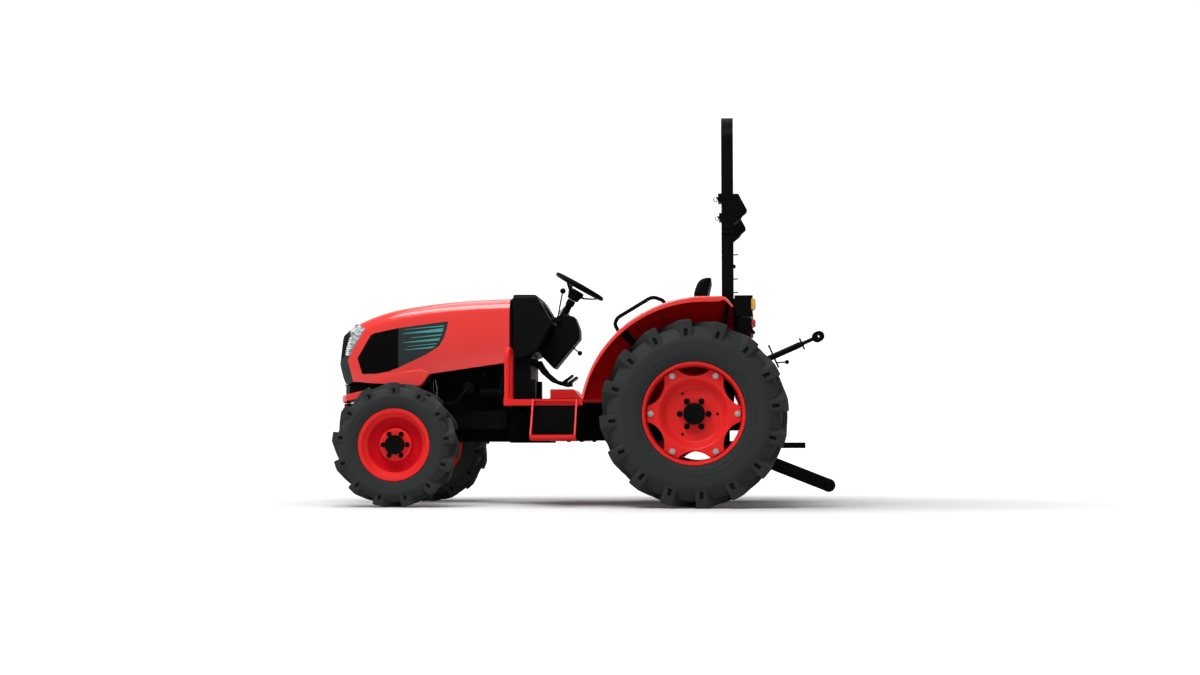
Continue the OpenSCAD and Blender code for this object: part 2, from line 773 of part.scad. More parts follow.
module cowl() {
    color(black) {
        plate([
            [cowl_front, 985], [cowl_front, bonnet_top + 3], [1090, bonnet_top + 7], [988, 1262],
                cowl_rear_top, cowl_rear_low,
            [1108, 1030], [1210, 990]
        ], -cowl_half, cowl_half);
        block([wall_rear, -wall_half, floor_h], [cowl_front - 2, wall_half, 1040]);
        cross_bar(bonnet_hinge[0], bonnet_hinge[1], -hinge_half / 2, hinge_half / 2, hinge_r);
        block(
            [cowl_front - 1, -hinge_half / 2, bonnet_hinge[1] - hinge_r],
            [bonnet_hinge[0], hinge_half / 2, bonnet_hinge[1] - 1]
        );
    }
}

wheel_mid = [815, 0, 1518];
column_axis = [-sin(column_lean), 0, cos(column_lean)];
hub_drop = 62;
hub_h = 46;
column_r = 24;
column_half = 95;
// Low face of the column's shroud, and how far along it the parking lever comes out
low_face = [[806, 1150], [983, 934]];
lever_share = 0.29;
lever_len = 62;

function on_column(d) = wheel_mid - d * column_axis;

module steering_column() {
    color(black) difference() {
        union() {
            plate([
                cowl_rear_top, [940, 1327], [841, 1299], [809, 1214], low_face[0], low_face[1],
                    [1082, 1036], cowl_rear_low
            ], -column_half, column_half);
            bar(on_column(250), on_column(hub_drop + hub_h + 1), column_r);
        }
        bar(on_column(180), on_column(hub_drop), 12 + fit);
    }
}

steering_rim_r = 15;

// Steering wheel, drawn about its own axis
module steering_wheel() {
    ring_r = steering_wheel_d / 2 - steering_rim_r;
    color(black) translate(wheel_mid) rotate([0, -column_lean, 0]) {
        rotate_extrude($fn = 96) translate([ring_r, 0]) circle(steering_rim_r, $fn = 32);
        translate([0, 0, -hub_drop - hub_h]) cylinder(h = hub_h + 14, r = 42);
        translate([0, 0, -175]) cylinder(h = 140, r = 12);
        for (a = [60, 180, 300]) rotate([0, 0, a]) bar([30, 0, -hub_drop], [ring_r, 0, 0], 11);
    }
}

// A round lever from a to b, with a ball on its end
module knob_lever(a, b, r, knob_r) {
    d = b - a;
    translate(a) rotate([0, acos(d[2] / norm(d)), atan2(d[1], d[0])]) {
        cylinder(h = norm(d), r = r, $fn = 12);
        translate([0, 0, norm(d)]) rotate_extrude() polygon(knob_r * [
            [0, -0.92], [0.4, -0.92], [0.8, -0.6], [1, 0], [0.8, 0.6], [0.4, 0.92], [0, 0.92]
        ]);
    }
}

// Hanging pedal: an arm from a bracket on the firewall, and a pad
module pedal(y, pad_half) {
    block([1098, y - 14, 950], [wall_rear - seat, y + 14, 1002]);
    plate([
        [1120, 1000], [1100, 946], [1062, 900], [990, 842], [905, 820], [896, 838], [975, 858],
            [1040, 915], [1080, 975], [1096, 1000]
    ], y - 8, y + 8);
    plate([[914, 842], [850, 888], [843, 879], [902, 832]], y - pad_half, y + pad_half);
}

module controls() {
    run = low_face[1] - low_face[0];
    out = [run[1], 0, -run[0]] / norm(run);
    face = low_face[0] + lever_share * run;
    lever_root = [face[0], 40, face[1]] + seat * out;
    color(black) {
        // Shuttle lever beside the column
        knob_lever([957, column_half + 11, 1285], [922, column_half + 16, 1478], 5, 21);
        block([935, column_half, 1260], [985, column_half + 24, 1295]);
        // Parking lever under the column
        knob_lever(lever_root, lever_root + lever_len * out, 5, 18);
        // Clutch pedal on the left, two brake pedals on the right
        pedal(170, 36);
        pedal(-118, 28);
        pedal(-181, 28);
    }
}

// Platform, steps and seat

floor_t = 12;
lip_h = 41;
floor_rear = 470;
fender_front_x = -70 + sqrt(fender_r * fender_r - pow(floor_h - (rear_tyre_d + fender_gap - fender_r), 2));
floor_split = fender_front_x + 4;
guard_x = floor_front - 20;
guard_r = 19;
guard_top = 1065;
guard_out = floor_half_w - guard_r - 4;
guard_in = 400;
guard_bend = 50;

module guard_hoop() {
    z = guard_top - guard_r;
    bar([guard_x, guard_out, floor_h - 2], [guard_x, guard_out, z - guard_bend], guard_r);
    bar([guard_x, guard_in, floor_h - 2], [guard_x, guard_in, z - guard_bend], guard_r);
    cross_bar(guard_x, z, guard_in + guard_bend, guard_out - guard_bend, guard_r);
    translate([guard_x, guard_out - guard_bend, z - guard_bend]) rotate([90, 0, 90])
        rotate_extrude(angle = 90) translate([guard_bend, 0]) circle(guard_r, $fn = 48);
    translate([guard_x, guard_in + guard_bend, z - guard_bend]) rotate([90, 0, 90]) rotate([0, 0, 90])
        rotate_extrude(angle = 90) translate([guard_bend, 0]) circle(guard_r, $fn = 48);
}

tunnel_half = 200;
tunnel_h = 80;

module platform() {
    color(red) {
        block([floor_split, -floor_half_w, floor_h - floor_t], [floor_front, floor_half_w, floor_h]);
        block([floor_rear, -fender_in + 1, floor_h - floor_t], [floor_split + 1, fender_in - 1, floor_h]);
        on_both() {
            block([floor_split, floor_half_w - 6, floor_h - lip_h], [floor_front, floor_half_w, floor_h]);
            block([floor_front - 6, engine_half + 20, floor_h - lip_h], [floor_front, floor_half_w, floor_h]);
            guard_hoop();
        }
        plate([[770, floor_h - 1], [1000, floor_h - 1], [1000, floor_h + tunnel_h],
            [840, floor_h + tunnel_h]], -tunnel_half, tunnel_half);
    }
}

step_x0 = 773;
step_x1 = 1073;
step_t = 10;
step_z = 445;
step_out = 170;
tread_h = 30;
tread_w = 90;

// Hanging step: two side bars, a tread and a top bar against the platform's edge
module step_frame() {
    y = floor_half_w;
    for (x = [step_x0, step_x1 - step_t]) slab([
        [y, floor_h], [y + 26, floor_h], [y + step_out, step_z + tread_h], [y + step_out, step_z],
        [y + step_out - 40, step_z], [y, floor_h - lip_h]
    ], x, x + step_t);
    block([step_x0, y, floor_h - 12], [step_x1, y + 20, floor_h]);
    block([step_x0, y + step_out - tread_w, step_z], [step_x1, y + step_out, step_z + 6]);
    block([step_x0, y + step_out - 6, step_z], [step_x1, y + step_out, step_z + tread_h]);
}

module steps() { color(red) on_both() step_frame(); }

// Dark plate behind each step
module step_panels() {
    color(black) on_both() slab([
        [floor_half_w - 12, floor_h - floor_t - seat], [floor_half_w - 8, floor_h - floor_t - seat],
        [floor_half_w - 8, step_z + 10], [floor_half_w - 12, step_z + 10]
    ], step_x0 + step_t + 1, step_x1 - step_t - 1);
}

deck_t = 6;
deck_front = 480;
deck_rear = rocker[0] - 10;

module seat_deck() {
    color(black) {
        plate([
            [deck_front, floor_h], [deck_front, deck_h], [deck_rear, deck_h], [deck_rear, deck_h - deck_t],
            [deck_front - deck_t, deck_h - deck_t], [deck_front - deck_t, floor_h]
        ], -fender_in, fender_in);
        // Lever consoles beside the seat
        on_both() block([60, 340, deck_h - 1], [400, 460, deck_h + 44]);
    }
}

seat_half = 235;
seat_base_top = deck_h + 84;
cushion_t = 95;
cushion_x0 = -40;
cushion_x1 = 420;
back_top = 1573;
back_lean = 100;

module seat_base() { color(black) block([-20, -180, deck_h], [360, 180, seat_base_top]); }

module seat_cushion() {
    color(black) block([cushion_x0, -seat_half, seat_base_top + seat],
        [cushion_x1, seat_half, seat_base_top + cushion_t]);
}

module seat_back() {
    z0 = seat_base_top + cushion_t + seat;
    color(black) plate([
        [cushion_x0 + 20, z0], [cushion_x0 + 120, z0], [cushion_x0 + 120 - back_lean + 20, back_top - 40],
        [cushion_x0 + 80 - back_lean, back_top], [cushion_x0 + 40 - back_lean, back_top],
            [cushion_x0 - back_lean + 20, back_top - 40]
    ], -seat_half + 10, seat_half - 10);
}

// Fenders

fender_t = 6;
fender_lip = 34;
fender_mid = [-70, rear_tyre_d + fender_gap - fender_r];
fender_a0 = asin((floor_h - fender_mid[1]) / fender_r);
fender_flat_end = -204;
fender_tail = [-258, 1310];
wall_bottom = 722;

function fender_line(r) = concat(
    arc(fender_mid[0], fender_mid[1], r, fender_a0, 90, 20),
    [[fender_flat_end, fender_mid[1] + r], [fender_tail[0], fender_tail[1] + r - fender_r]]
);

module fender() {
    band = concat(fender_line(fender_r), reversed(fender_line(fender_r - fender_t)));
    lip = concat(fender_line(fender_r), reversed(fender_line(fender_r - fender_lip)));
    wall = concat(fender_line(fender_r - 1), [[fender_tail[0], 1180], [-150, wall_bottom]]);
    color(red) {
        plate(band, fender_in, fender_out);
        plate(lip, fender_out - 8, fender_out);
        plate(wall, fender_in, fender_in + fender_t);
    }
}

rail_tube_r = 12.5;
rail_y = 600;
rail_foot_r = 24;
rail_foot_t = 6;
rail_front_turn = 46.5;
rail_rear_turn = 71.6;
rail_h = 84;
rail_start = seat + rail_foot_t - 1.5;

// Point over the fender's sweep at an angle and a height above it
function over_fender(turn, h) = [fender_mid[0] + (fender_r + h) * cos(turn), rail_y,
    fender_mid[1] + (fender_r + h) * sin(turn)];

// Bent grab rail on each fender, with a round foot at each end
module fender_rail() {
    for (turn = [rail_front_turn, rail_rear_turn])
        bar(over_fender(turn, seat), over_fender(turn, seat + rail_foot_t), rail_foot_r);
    bent_bar([
        over_fender(rail_front_turn, rail_start), over_fender(rail_front_turn + 1.2, rail_h - 18),
        over_fender(rail_front_turn + 3.8, rail_h), over_fender(rail_rear_turn - 4, rail_h),
        over_fender(rail_rear_turn - 0.4, rail_h - 50), over_fender(rail_rear_turn, rail_start)
    ], rail_tube_r);
}

module fender_rails() { color(black) on_both() fender_rail(); }

// Roll bar

rops_front = -181;
rops_rear = rops_front - rops_tube_x;
rops_out = 490;
rops_in = rops_out - rops_tube_y;
rops_bend = 170;
fold_pivot = [rops_rear - 34, fold_h];
plate_t = 8;
fold_pin_r = 10;

module rops_posts() {
    ears = [
        [rops_front, fold_h - 1], [rops_front, fold_h - 120], [rops_rear - 2, fold_h - 120],
        [rops_rear - 2, fold_h - 60], [fold_pivot[0] - 12, fold_h - 24], [fold_pivot[0] - 24, fold_h - 6],
        [fold_pivot[0] - 22, fold_h + 12], [fold_pivot[0] + 4, fold_h + 24], [rops_rear + 2, fold_h - 1]
    ];
    color(black) {
        difference() {
            on_both() {
                block([rops_rear, rops_in, post_pad + seat], [rops_front, rops_out, fold_h - seat]);
                block([rops_rear, rops_in - 30, post_pad + seat], [tube_r, rops_out, post_pad + 20]);
                plate(ears, rops_out + plate_t + 1, rops_out + 2 * plate_t + 1);
                plate(ears, rops_in - 2 * plate_t - 1, rops_in - plate_t - 1);
                block([rops_rear, rops_out - 1, fold_h - 110],
                    [rops_front, rops_out + plate_t + 2, fold_h - 76]);
                block([rops_rear, rops_in - plate_t - 2, fold_h - 110],
                    [rops_front, rops_in + 1, fold_h - 76]);
            }
            on_both() cross_bar(fold_pivot[0], fold_pivot[1], 300, 600, fold_pin_r + fit);
        }
    }
}

module rops_hoop() {
    ears = [
        [rops_front, fold_h + 146], [rops_rear - 34, fold_h + 146], [rops_rear - 91, fold_h + 37],
        [rops_rear - 90, fold_h + 24], [fold_pivot[0] - 24, fold_h - 4], [fold_pivot[0] - 16, fold_h - 15],
        [fold_pivot[0] + 18, fold_h - 16], [rops_rear, fold_h + 4], [rops_front, fold_h + 4]
    ];
    corner_z = rops_h - rops_bend;
    color(black) {
        on_both() {
            block([rops_rear, rops_in, fold_h + seat], [rops_front, rops_out, corner_z + 1]);
            translate([rops_rear, rops_out - rops_bend, corner_z]) rotate([90, 0, 90])
                rotate_extrude(angle = 90) translate([rops_bend - rops_tube_y, 0])
                    square([rops_tube_y, rops_tube_x]);
            plate(ears, rops_out + 1, rops_out + plate_t);
            plate(ears, rops_in - plate_t, rops_in - 1);
            block([rops_rear, rops_in - 2, fold_h + 5], [rops_front, rops_out + 2, fold_h + 145]);
            cross_bar(fold_pivot[0], fold_pivot[1], rops_in - 2 * plate_t - 12,
                rops_out + 2 * plate_t + 12, fold_pin_r);
        }
        block([rops_rear, -rops_out + rops_bend - 1, rops_h - rops_tube_y],
            [rops_front, rops_out - rops_bend + 1, rops_h]);
    }
}

// Tail lamps beside the roll bar's posts

lamp_x0 = rops_rear - 140;
lamp_x1 = fender_tail[0] - 7;
lamp_y0 = rops_out;
lamp_y1 = 620;
upper_lamp = [1255, 1393];
lower_lamp = [1165, 1238];
lens_t = 16;

module tail_lamps() {
    color(black) on_both() {
        block([lamp_x0 + lens_t, lamp_y0 + 2, upper_lamp[0]], [lamp_x1, lamp_y1, upper_lamp[1]]);
        block([lamp_x0 + lens_t, lamp_y0 + 2, lower_lamp[0]], [lamp_x1 - 20, lamp_y1, lower_lamp[1]]);
        block([rops_rear - 40, lamp_y0 + seat, lower_lamp[0] + 10],
            [rops_rear + 30, lamp_y0 + 8, upper_lamp[1] - 10]);
    }
}

module tail_lenses() {
    color("orange") on_both() {
        block([lamp_x0, lamp_y0 + 20, upper_lamp[0] + 45],
            [lamp_x0 + lens_t, lamp_y1 - 8, upper_lamp[1] - 25]);
        block([lamp_x0, lamp_y0 + 20, lower_lamp[0] + 20],
            [lamp_x0 + lens_t, lamp_y1 - 8, lower_lamp[1] - 6]);
    }
}

// Rear linkage, in side planes that lie next to each other

arm_y0 = 270;
linkage_gap = 5;
plane_t = 25;
rod_y0 = arm_y0 + plane_t + linkage_gap;
lift_arm_len = 360;
rod_eye_r = 13;
// The lift arm lies along the lower link and is as long as the link up to its rod, so the rod keeps its lean
arm_reach = lift_arm_len * [cos(link_slope), sin(link_slope)];
lift_pin = rocker - arm_reach;
rod_pin = lower_pivot - arm_reach;

// A flat link between two points of a side plane, with a round end at each
module link(a, b, y0, t, r0, r1) {
    d = b - a;
    n = [-d[1], d[0]] / norm(d);
    cross_bar(a[0], a[1], y0, y0 + t, r0);
    cross_bar(b[0], b[1], y0, y0 + t, r1);
    plate([a + n * r0 * 0.85, a - n * r0 * 0.85, b - n * r1 * 0.85, b + n * r1 * 0.85], y0, y0 + t);
}

module lift_arms() {
    color(black) {
        cross_bar(rocker[0], rocker[1], -arm_y0 - 5, arm_y0 + 5, rocker_r);
        on_both() {
            link(rocker, lift_pin, arm_y0, plane_t, 48, 30);
            cross_bar(lift_pin[0], lift_pin[1], arm_y0 + 5, rod_y0 + plane_t, pin_r - 2);
        }
    }
}

module lift_rod() {
    color(black) difference() {
        link(lift_pin, rod_pin, rod_y0, plane_t, 28, 32);
        cross_bar(lift_pin[0], lift_pin[1], rod_y0 - 1, rod_y0 + plane_t + 1, pin_r - 2 + fit);
        cross_bar(rod_pin[0], rod_pin[1], rod_y0 - 1, rod_y0 + plane_t + 1, rod_eye_r);
    }
}

module lower_link() {
    color(black) difference() {
        union() {
            link(lower_pivot, link_end, link_y0, link_t, 40, link_eye_r);
            cross_bar(link_end[0], link_end[1], link_y0 - 8, link_y0 + link_t + 7, 26);
            cross_bar(rod_pin[0], rod_pin[1], rod_y0 + 4, link_y0 + 5, 12);
        }
        cross_bar(lower_pivot[0], lower_pivot[1], link_y0 - 1, link_y0 + link_t + 1, pin_r + fit);
        cross_bar(link_end[0], link_end[1], link_y0 - 10, link_y0 + link_t + 10, ball_bore_d / 2);
    }
}

top_end = [top_pivot[0] - top_link_len * cos(top_link_slope),
    top_pivot[1] + top_link_len * sin(top_link_slope)];

module top_link() {
    eye_half = 22;
    along = (top_end - top_pivot) / top_link_len;
    function at(d) = [top_pivot[0] + d * along[0], 0, top_pivot[1] + d * along[1]];
    color(black) difference() {
        union() {
            cross_bar(top_pivot[0], top_pivot[1], -eye_half, eye_half, 34);
            cross_bar(top_end[0], top_end[1], -eye_half, eye_half, 36);
            bar(at(20), at(top_link_len - 20), 13);
            bar(at(130), at(top_link_len - 140), 21);
        }
        cross_bar(top_pivot[0], top_pivot[1], -50, 50, top_pin_r + fit);
        cross_bar(top_end[0], top_end[1], -50, 50, top_bore_d / 2);
    }
}

place() front_frame();
place() front_bumper();
place() chin();
place() engine_block();
place() gearbox();
place() rear_axle();
place() pto_guard();
place() drawbar();
place() front_axle();
place() steering_rod();
place() knuckle();  // knuckle_left
place() on_side(-1) knuckle();  // knuckle_right
place() hood();
place() side_grilles();
place() side_panels();
place() nose_grille();
place() headlamps();
place() cowl();
place() steering_column();
place() steering_wheel();
place() controls();
place() platform();
place() steps();
place() step_panels();
place() seat_deck();
place() seat_base();
place() seat_cushion();
place() seat_back();
place() fender();  // fender_left
place() on_side(-1) fender();  // fender_right
place() fender_rails();
place() rops_posts();
place() rops_hoop();
place() tail_lamps();
place() tail_lenses();
place() lift_arms();
place() lift_rod();  // lift_rod_left
place() on_side(-1) lift_rod();  // lift_rod_right
place() lower_link();  // lower_link_left
place() on_side(-1) lower_link();  // lower_link_right
place() top_link();
place() at_rear() rear_tyre();  // tyre_rear_left
place() on_side(-1) at_rear() rear_tyre();  // tyre_rear_right
place() at_rear() rear_wheel();  // wheel_rear_left
place() on_side(-1) at_rear() rear_wheel();  // wheel_rear_right
place() at_rear() rear_hub();  // hub_rear_left
place() on_side(-1) at_rear() rear_hub();  // hub_rear_right
place() at_front() front_tyre();  // tyre_front_left
place() on_side(-1) at_front() front_tyre();  // tyre_front_right
place() at_front() front_wheel();  // wheel_front_left
place() on_side(-1) at_front() front_wheel();  // wheel_front_right
place() at_front() front_hub();  // hub_front_left
place() on_side(-1) at_front() front_hub();  // hub_front_right
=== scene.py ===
"""Looks of the farm tractor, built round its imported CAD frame.

Points are given in millimetres from the ground under the rear axle, with X forward,
Y to the left and Z up, as in the part's source. Blender's own units are metres.
"""
import math
from collections import namedtuple

import bmesh
import bpy
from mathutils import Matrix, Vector


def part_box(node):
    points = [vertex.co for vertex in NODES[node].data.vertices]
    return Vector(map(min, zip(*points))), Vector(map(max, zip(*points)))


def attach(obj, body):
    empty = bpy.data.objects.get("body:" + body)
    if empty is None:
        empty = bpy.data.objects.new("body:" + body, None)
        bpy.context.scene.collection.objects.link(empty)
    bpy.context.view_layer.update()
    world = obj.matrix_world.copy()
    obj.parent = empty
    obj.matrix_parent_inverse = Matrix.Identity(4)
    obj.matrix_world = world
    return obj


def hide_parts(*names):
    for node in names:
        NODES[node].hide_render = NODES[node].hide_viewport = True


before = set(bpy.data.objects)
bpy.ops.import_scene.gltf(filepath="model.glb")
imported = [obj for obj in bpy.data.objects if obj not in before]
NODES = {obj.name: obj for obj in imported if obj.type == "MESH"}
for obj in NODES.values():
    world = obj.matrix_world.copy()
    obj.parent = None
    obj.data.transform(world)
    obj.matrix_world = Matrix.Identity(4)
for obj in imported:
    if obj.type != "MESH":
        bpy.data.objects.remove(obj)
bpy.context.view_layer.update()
AXLE_X = sum(c.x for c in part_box("hub_rear_left")) / 2
WHEELBASE = 1970
SIDES = (("left", 1), ("right", -1))


def P(x, y, z):
    """A point in millimetres from the rear axle's ground point, in Blender's metres."""
    return Vector((x / 1000 + AXLE_X, y / 1000, z / 1000))


# Materials

PATCH_DETAIL = 4.0
GRAIN_DETAIL = 3.0
PATCH_MIX = (-0.35, 1.2)
BUMP_DEPTH = 0.001


def ramp_between(nodes, links, fac, low, high, full=1.0):
    """A value from low to high, driven by a factor socket that runs from 0 to full."""
    node = nodes.new("ShaderNodeMapRange")
    node.inputs["From Max"].default_value = full
    node.inputs["To Min"].default_value = low
    node.inputs["To Max"].default_value = high
    links.new(fac, node.inputs["Value"])
    return node.outputs["Result"]


def noise(nodes, links, vector, scale, detail):
    node = nodes.new("ShaderNodeTexNoise")
    node.inputs["Scale"].default_value = scale
    node.inputs["Detail"].default_value = detail
    links.new(vector, node.inputs["Vector"])
    return node.outputs["Fac"]


def cells(nodes, links, vector, scale):
    node = nodes.new("ShaderNodeTexVoronoi")
    node.inputs["Scale"].default_value = scale
    links.new(vector, node.inputs["Vector"])
    return node.outputs["Distance"]


def surface(name, colour, other, rough, patch, grain, bump, specular=0.5, pebbled=False, **sockets):
    """A principled material whose colour, roughness and bump vary by noise in the part's own frame."""
    mat = bpy.data.materials.new(name)
    mat.use_nodes = True
    nodes = mat.node_tree.nodes
    links = mat.node_tree.links
    shader = nodes["Principled BSDF"]
    place = nodes.new("ShaderNodeTexCoord").outputs["Object"]
    patches = noise(nodes, links, place, patch, PATCH_DETAIL)
    fine = cells(nodes, links, place, grain) if pebbled else noise(nodes, links, place, grain, GRAIN_DETAIL)
    mix = nodes.new("ShaderNodeMix")
    mix.data_type = "RGBA"
    mix.inputs["A"].default_value = (*colour, 1)
    mix.inputs["B"].default_value = (*other, 1)
    links.new(ramp_between(nodes, links, patches, *PATCH_MIX), mix.inputs["Factor"])
    links.new(mix.outputs["Result"], shader.inputs["Base Color"])
    links.new(ramp_between(nodes, links, patches, *rough), shader.inputs["Roughness"])
    relief = nodes.new("ShaderNodeBump")
    relief.inputs["Strength"].default_value = bump
    relief.inputs["Distance"].default_value = BUMP_DEPTH
    links.new(fine, relief.inputs["Height"])
    links.new(relief.outputs["Normal"], shader.inputs["Normal"])
    shader.inputs["Specular IOR Level"].default_value = specular
    for key, value in sockets.items():
        shader.inputs[key.replace("_", " ")].default_value = value
    return mat


RED = surface("red_enamel", (0.76, 0.018, 0.012), (0.7, 0.014, 0.009), (0.3, 0.38), 3, 700, 0.02, 0.1,
              Coat_Weight=0.9, Coat_Roughness=0.12)
RED_IN = surface("red_enamel_frame", (0.78, 0.022, 0.02), (0.69, 0.017, 0.016), (0.4, 0.5), 5, 500, 0.05,
                 0.12, Coat_Weight=0.06, Coat_Roughness=0.15)
# Darker copy of the wheels' red for the front wheels' recessed dish: painted shade.
RED_DISH_SHADE = surface("red_enamel_dish_painted_shade", (0.6, 0.004, 0.012), (0.53, 0.003, 0.01), (0.42, 0.52), 5, 500, 0.05,
                   0.05)
# Darker, less glossy copy of the red enamel for the lining under the fenders: painted shade.
RED_PAINTED_SHADE = surface("red_enamel_painted_shade", (0.62, 0.004, 0.008), (0.5, 0.003, 0.006), (0.5, 0.6), 5, 500, 0.05,
                    0.03)
BLACK = surface("black_enamel", (0.0013, 0.0017, 0.0015), (0.0026, 0.003, 0.0028), (0.32, 0.44), 6, 420, 0.06,
                0.03)
CAST = surface("dark_casting", (0.0008, 0.0009, 0.0009), (0.002, 0.002, 0.0019), (0.5, 0.68), 9, 190, 0.3,
               0.02)
PLASTIC = surface("black_plastic", (0.0021, 0.0026, 0.0024), (0.0036, 0.004, 0.0038), (0.46, 0.56), 6, 1100,
                  0.16, 0.035)
GREY = surface("charcoal_plastic", (0.022, 0.03, 0.0325), (0.027, 0.034, 0.036), (0.4, 0.5), 6, 1100, 0.12,
               0.07)
TYRE = surface("tread_rubber", (0.02, 0.0225, 0.023), (0.027, 0.029, 0.0292), (0.66, 0.82), 12, 320, 0.22,
               0.15)
# Near-black copy of the tread rubber for the floors of the lug-end pockets: painted shade in the recesses.
TYRE_POCKET_SHADE = surface("tread_pocket_painted_shade", (0.004, 0.0044, 0.0045), (0.006, 0.0064, 0.0065), (0.7, 0.85), 12, 320,
                    0.2, 0.05)
VINYL = surface("seat_vinyl", (0.0014, 0.0015, 0.0016), (0.0024, 0.0025, 0.0026), (0.44, 0.54), 10, 420, 0.3,
                0.035, True)
MATTING = surface("floor_matting", (0.005, 0.005, 0.005), (0.009, 0.009, 0.0088), (0.7, 0.85), 14, 260, 0.4,
                  0.04, True)
ZINC = surface("zinc_plate", (0.4, 0.4, 0.39), (0.28, 0.28, 0.285), (0.42, 0.56), 30, 600, 0.1,
               Metallic=0.75)
STEEL = surface("ground_steel", (0.42, 0.42, 0.43), (0.3, 0.3, 0.31), (0.2, 0.34), 25, 500, 0.08,
                Metallic=1.0)
MIRROR = surface("lamp_reflector", (0.5, 0.51, 0.52), (0.36, 0.37, 0.38), (0.12, 0.24), 20, 300, 0.05,
                 Metallic=1.0)
LENS = surface("clear_lens", (0.93, 0.95, 0.96), (0.88, 0.9, 0.92), (0.03, 0.08), 20, 220, 0.04,
               Transmission_Weight=0.92, IOR=1.46)
AMBER = surface("amber_lens", (0.95, 0.55, 0.05), (0.88, 0.45, 0.035), (0.1, 0.2), 30, 260, 0.3,
                pebbled=True, Transmission_Weight=0.35, IOR=1.48)
RED_LENS = surface("red_lens", (0.65, 0.012, 0.012), (0.5, 0.008, 0.008), (0.1, 0.2), 30, 260, 0.3,
                   pebbled=True, Transmission_Weight=0.3, IOR=1.48)
TEAL = surface("teal_stripe", (0.055, 0.3, 0.29), (0.04, 0.22, 0.22), (0.3, 0.4), 8, 700, 0.02)

CASTINGS = ("engine_block", "gearbox", "rear_axle", "front_axle", "knuckle_left", "knuckle_right")
FINISHES = (
    (RED, ("hood", "front_bumper", "fender_left", "fender_right")),
    (RED_IN, ("platform", "steps")),
    (CAST, CASTINGS),
    (GREY, ("side_panels", "nose_grille")),
)
for node_name, cad_node in NODES.items():
    kind = node_name.split("_")[0]
    cad_node.data.materials.clear()
    cad_node.data.materials.append({"tyre": TYRE, "wheel": RED_IN}.get(kind, BLACK))
for finish, node_names in FINISHES:
    for node_name in node_names:
        NODES[node_name].data.materials[0] = finish


# Shape tools


def around(count, start=0.0, step=None):
    """Cosine and sine of evenly spaced angles in degrees, over a whole turn unless a step is given."""
    step = 360 / count if step is None else step
    turns = [math.radians(start + step * i) for i in range(count)]
    return [(math.cos(w), math.sin(w)) for w in turns]


def circle_frame(direction):
    """Two unit vectors across a direction."""
    across = direction.orthogonal().normalized()
    return across, direction.cross(across).normalized()


def rounded_path(points, bend, steps=6):
    """The path through points, with each inner corner rounded to about the bend radius."""
    most = 0.48
    points = [Vector(p) for p in points]
    path = [points[0]]
    for before, corner, after in zip(points, points[1:], points[2:]):
        back = before - corner
        ahead = after - corner
        half = (math.pi - back.angle(ahead)) / 2
        reach = min(bend * math.tan(half), most * back.length, most * ahead.length)
        start = corner + back.normalized() * reach
        end = corner + ahead.normalized() * reach
        for i in range(steps + 1):
            t = i / steps
            path.append(start.lerp(corner, t).lerp(corner.lerp(end, t), t))
    path.append(points[-1])
    return path


def round_edges(piece, width, segments=2, angle=35, harden=True):
    """Rounds an object's sharp edges by a width in millimetres."""
    edge = piece.modifiers.new("edge", "BEVEL")
    edge.width = width / 1000
    edge.segments = segments
    edge.limit_method = "ANGLE"
    edge.angle_limit = math.radians(angle)
    edge.harden_normals = harden


def coat(mesh, material, smooth):
    """Gives a mesh its material and smooth shading, sharp at edges over an angle in degrees."""
    mesh.materials.clear()
    mesh.materials.append(material)
    for face in mesh.polygons:
        face.use_smooth = True
    mesh.set_sharp_from_angle(angle=math.radians(smooth))


def declare(piece, body, node):
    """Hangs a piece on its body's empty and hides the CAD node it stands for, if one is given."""
    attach(piece, body)
    if node:
        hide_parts(node)


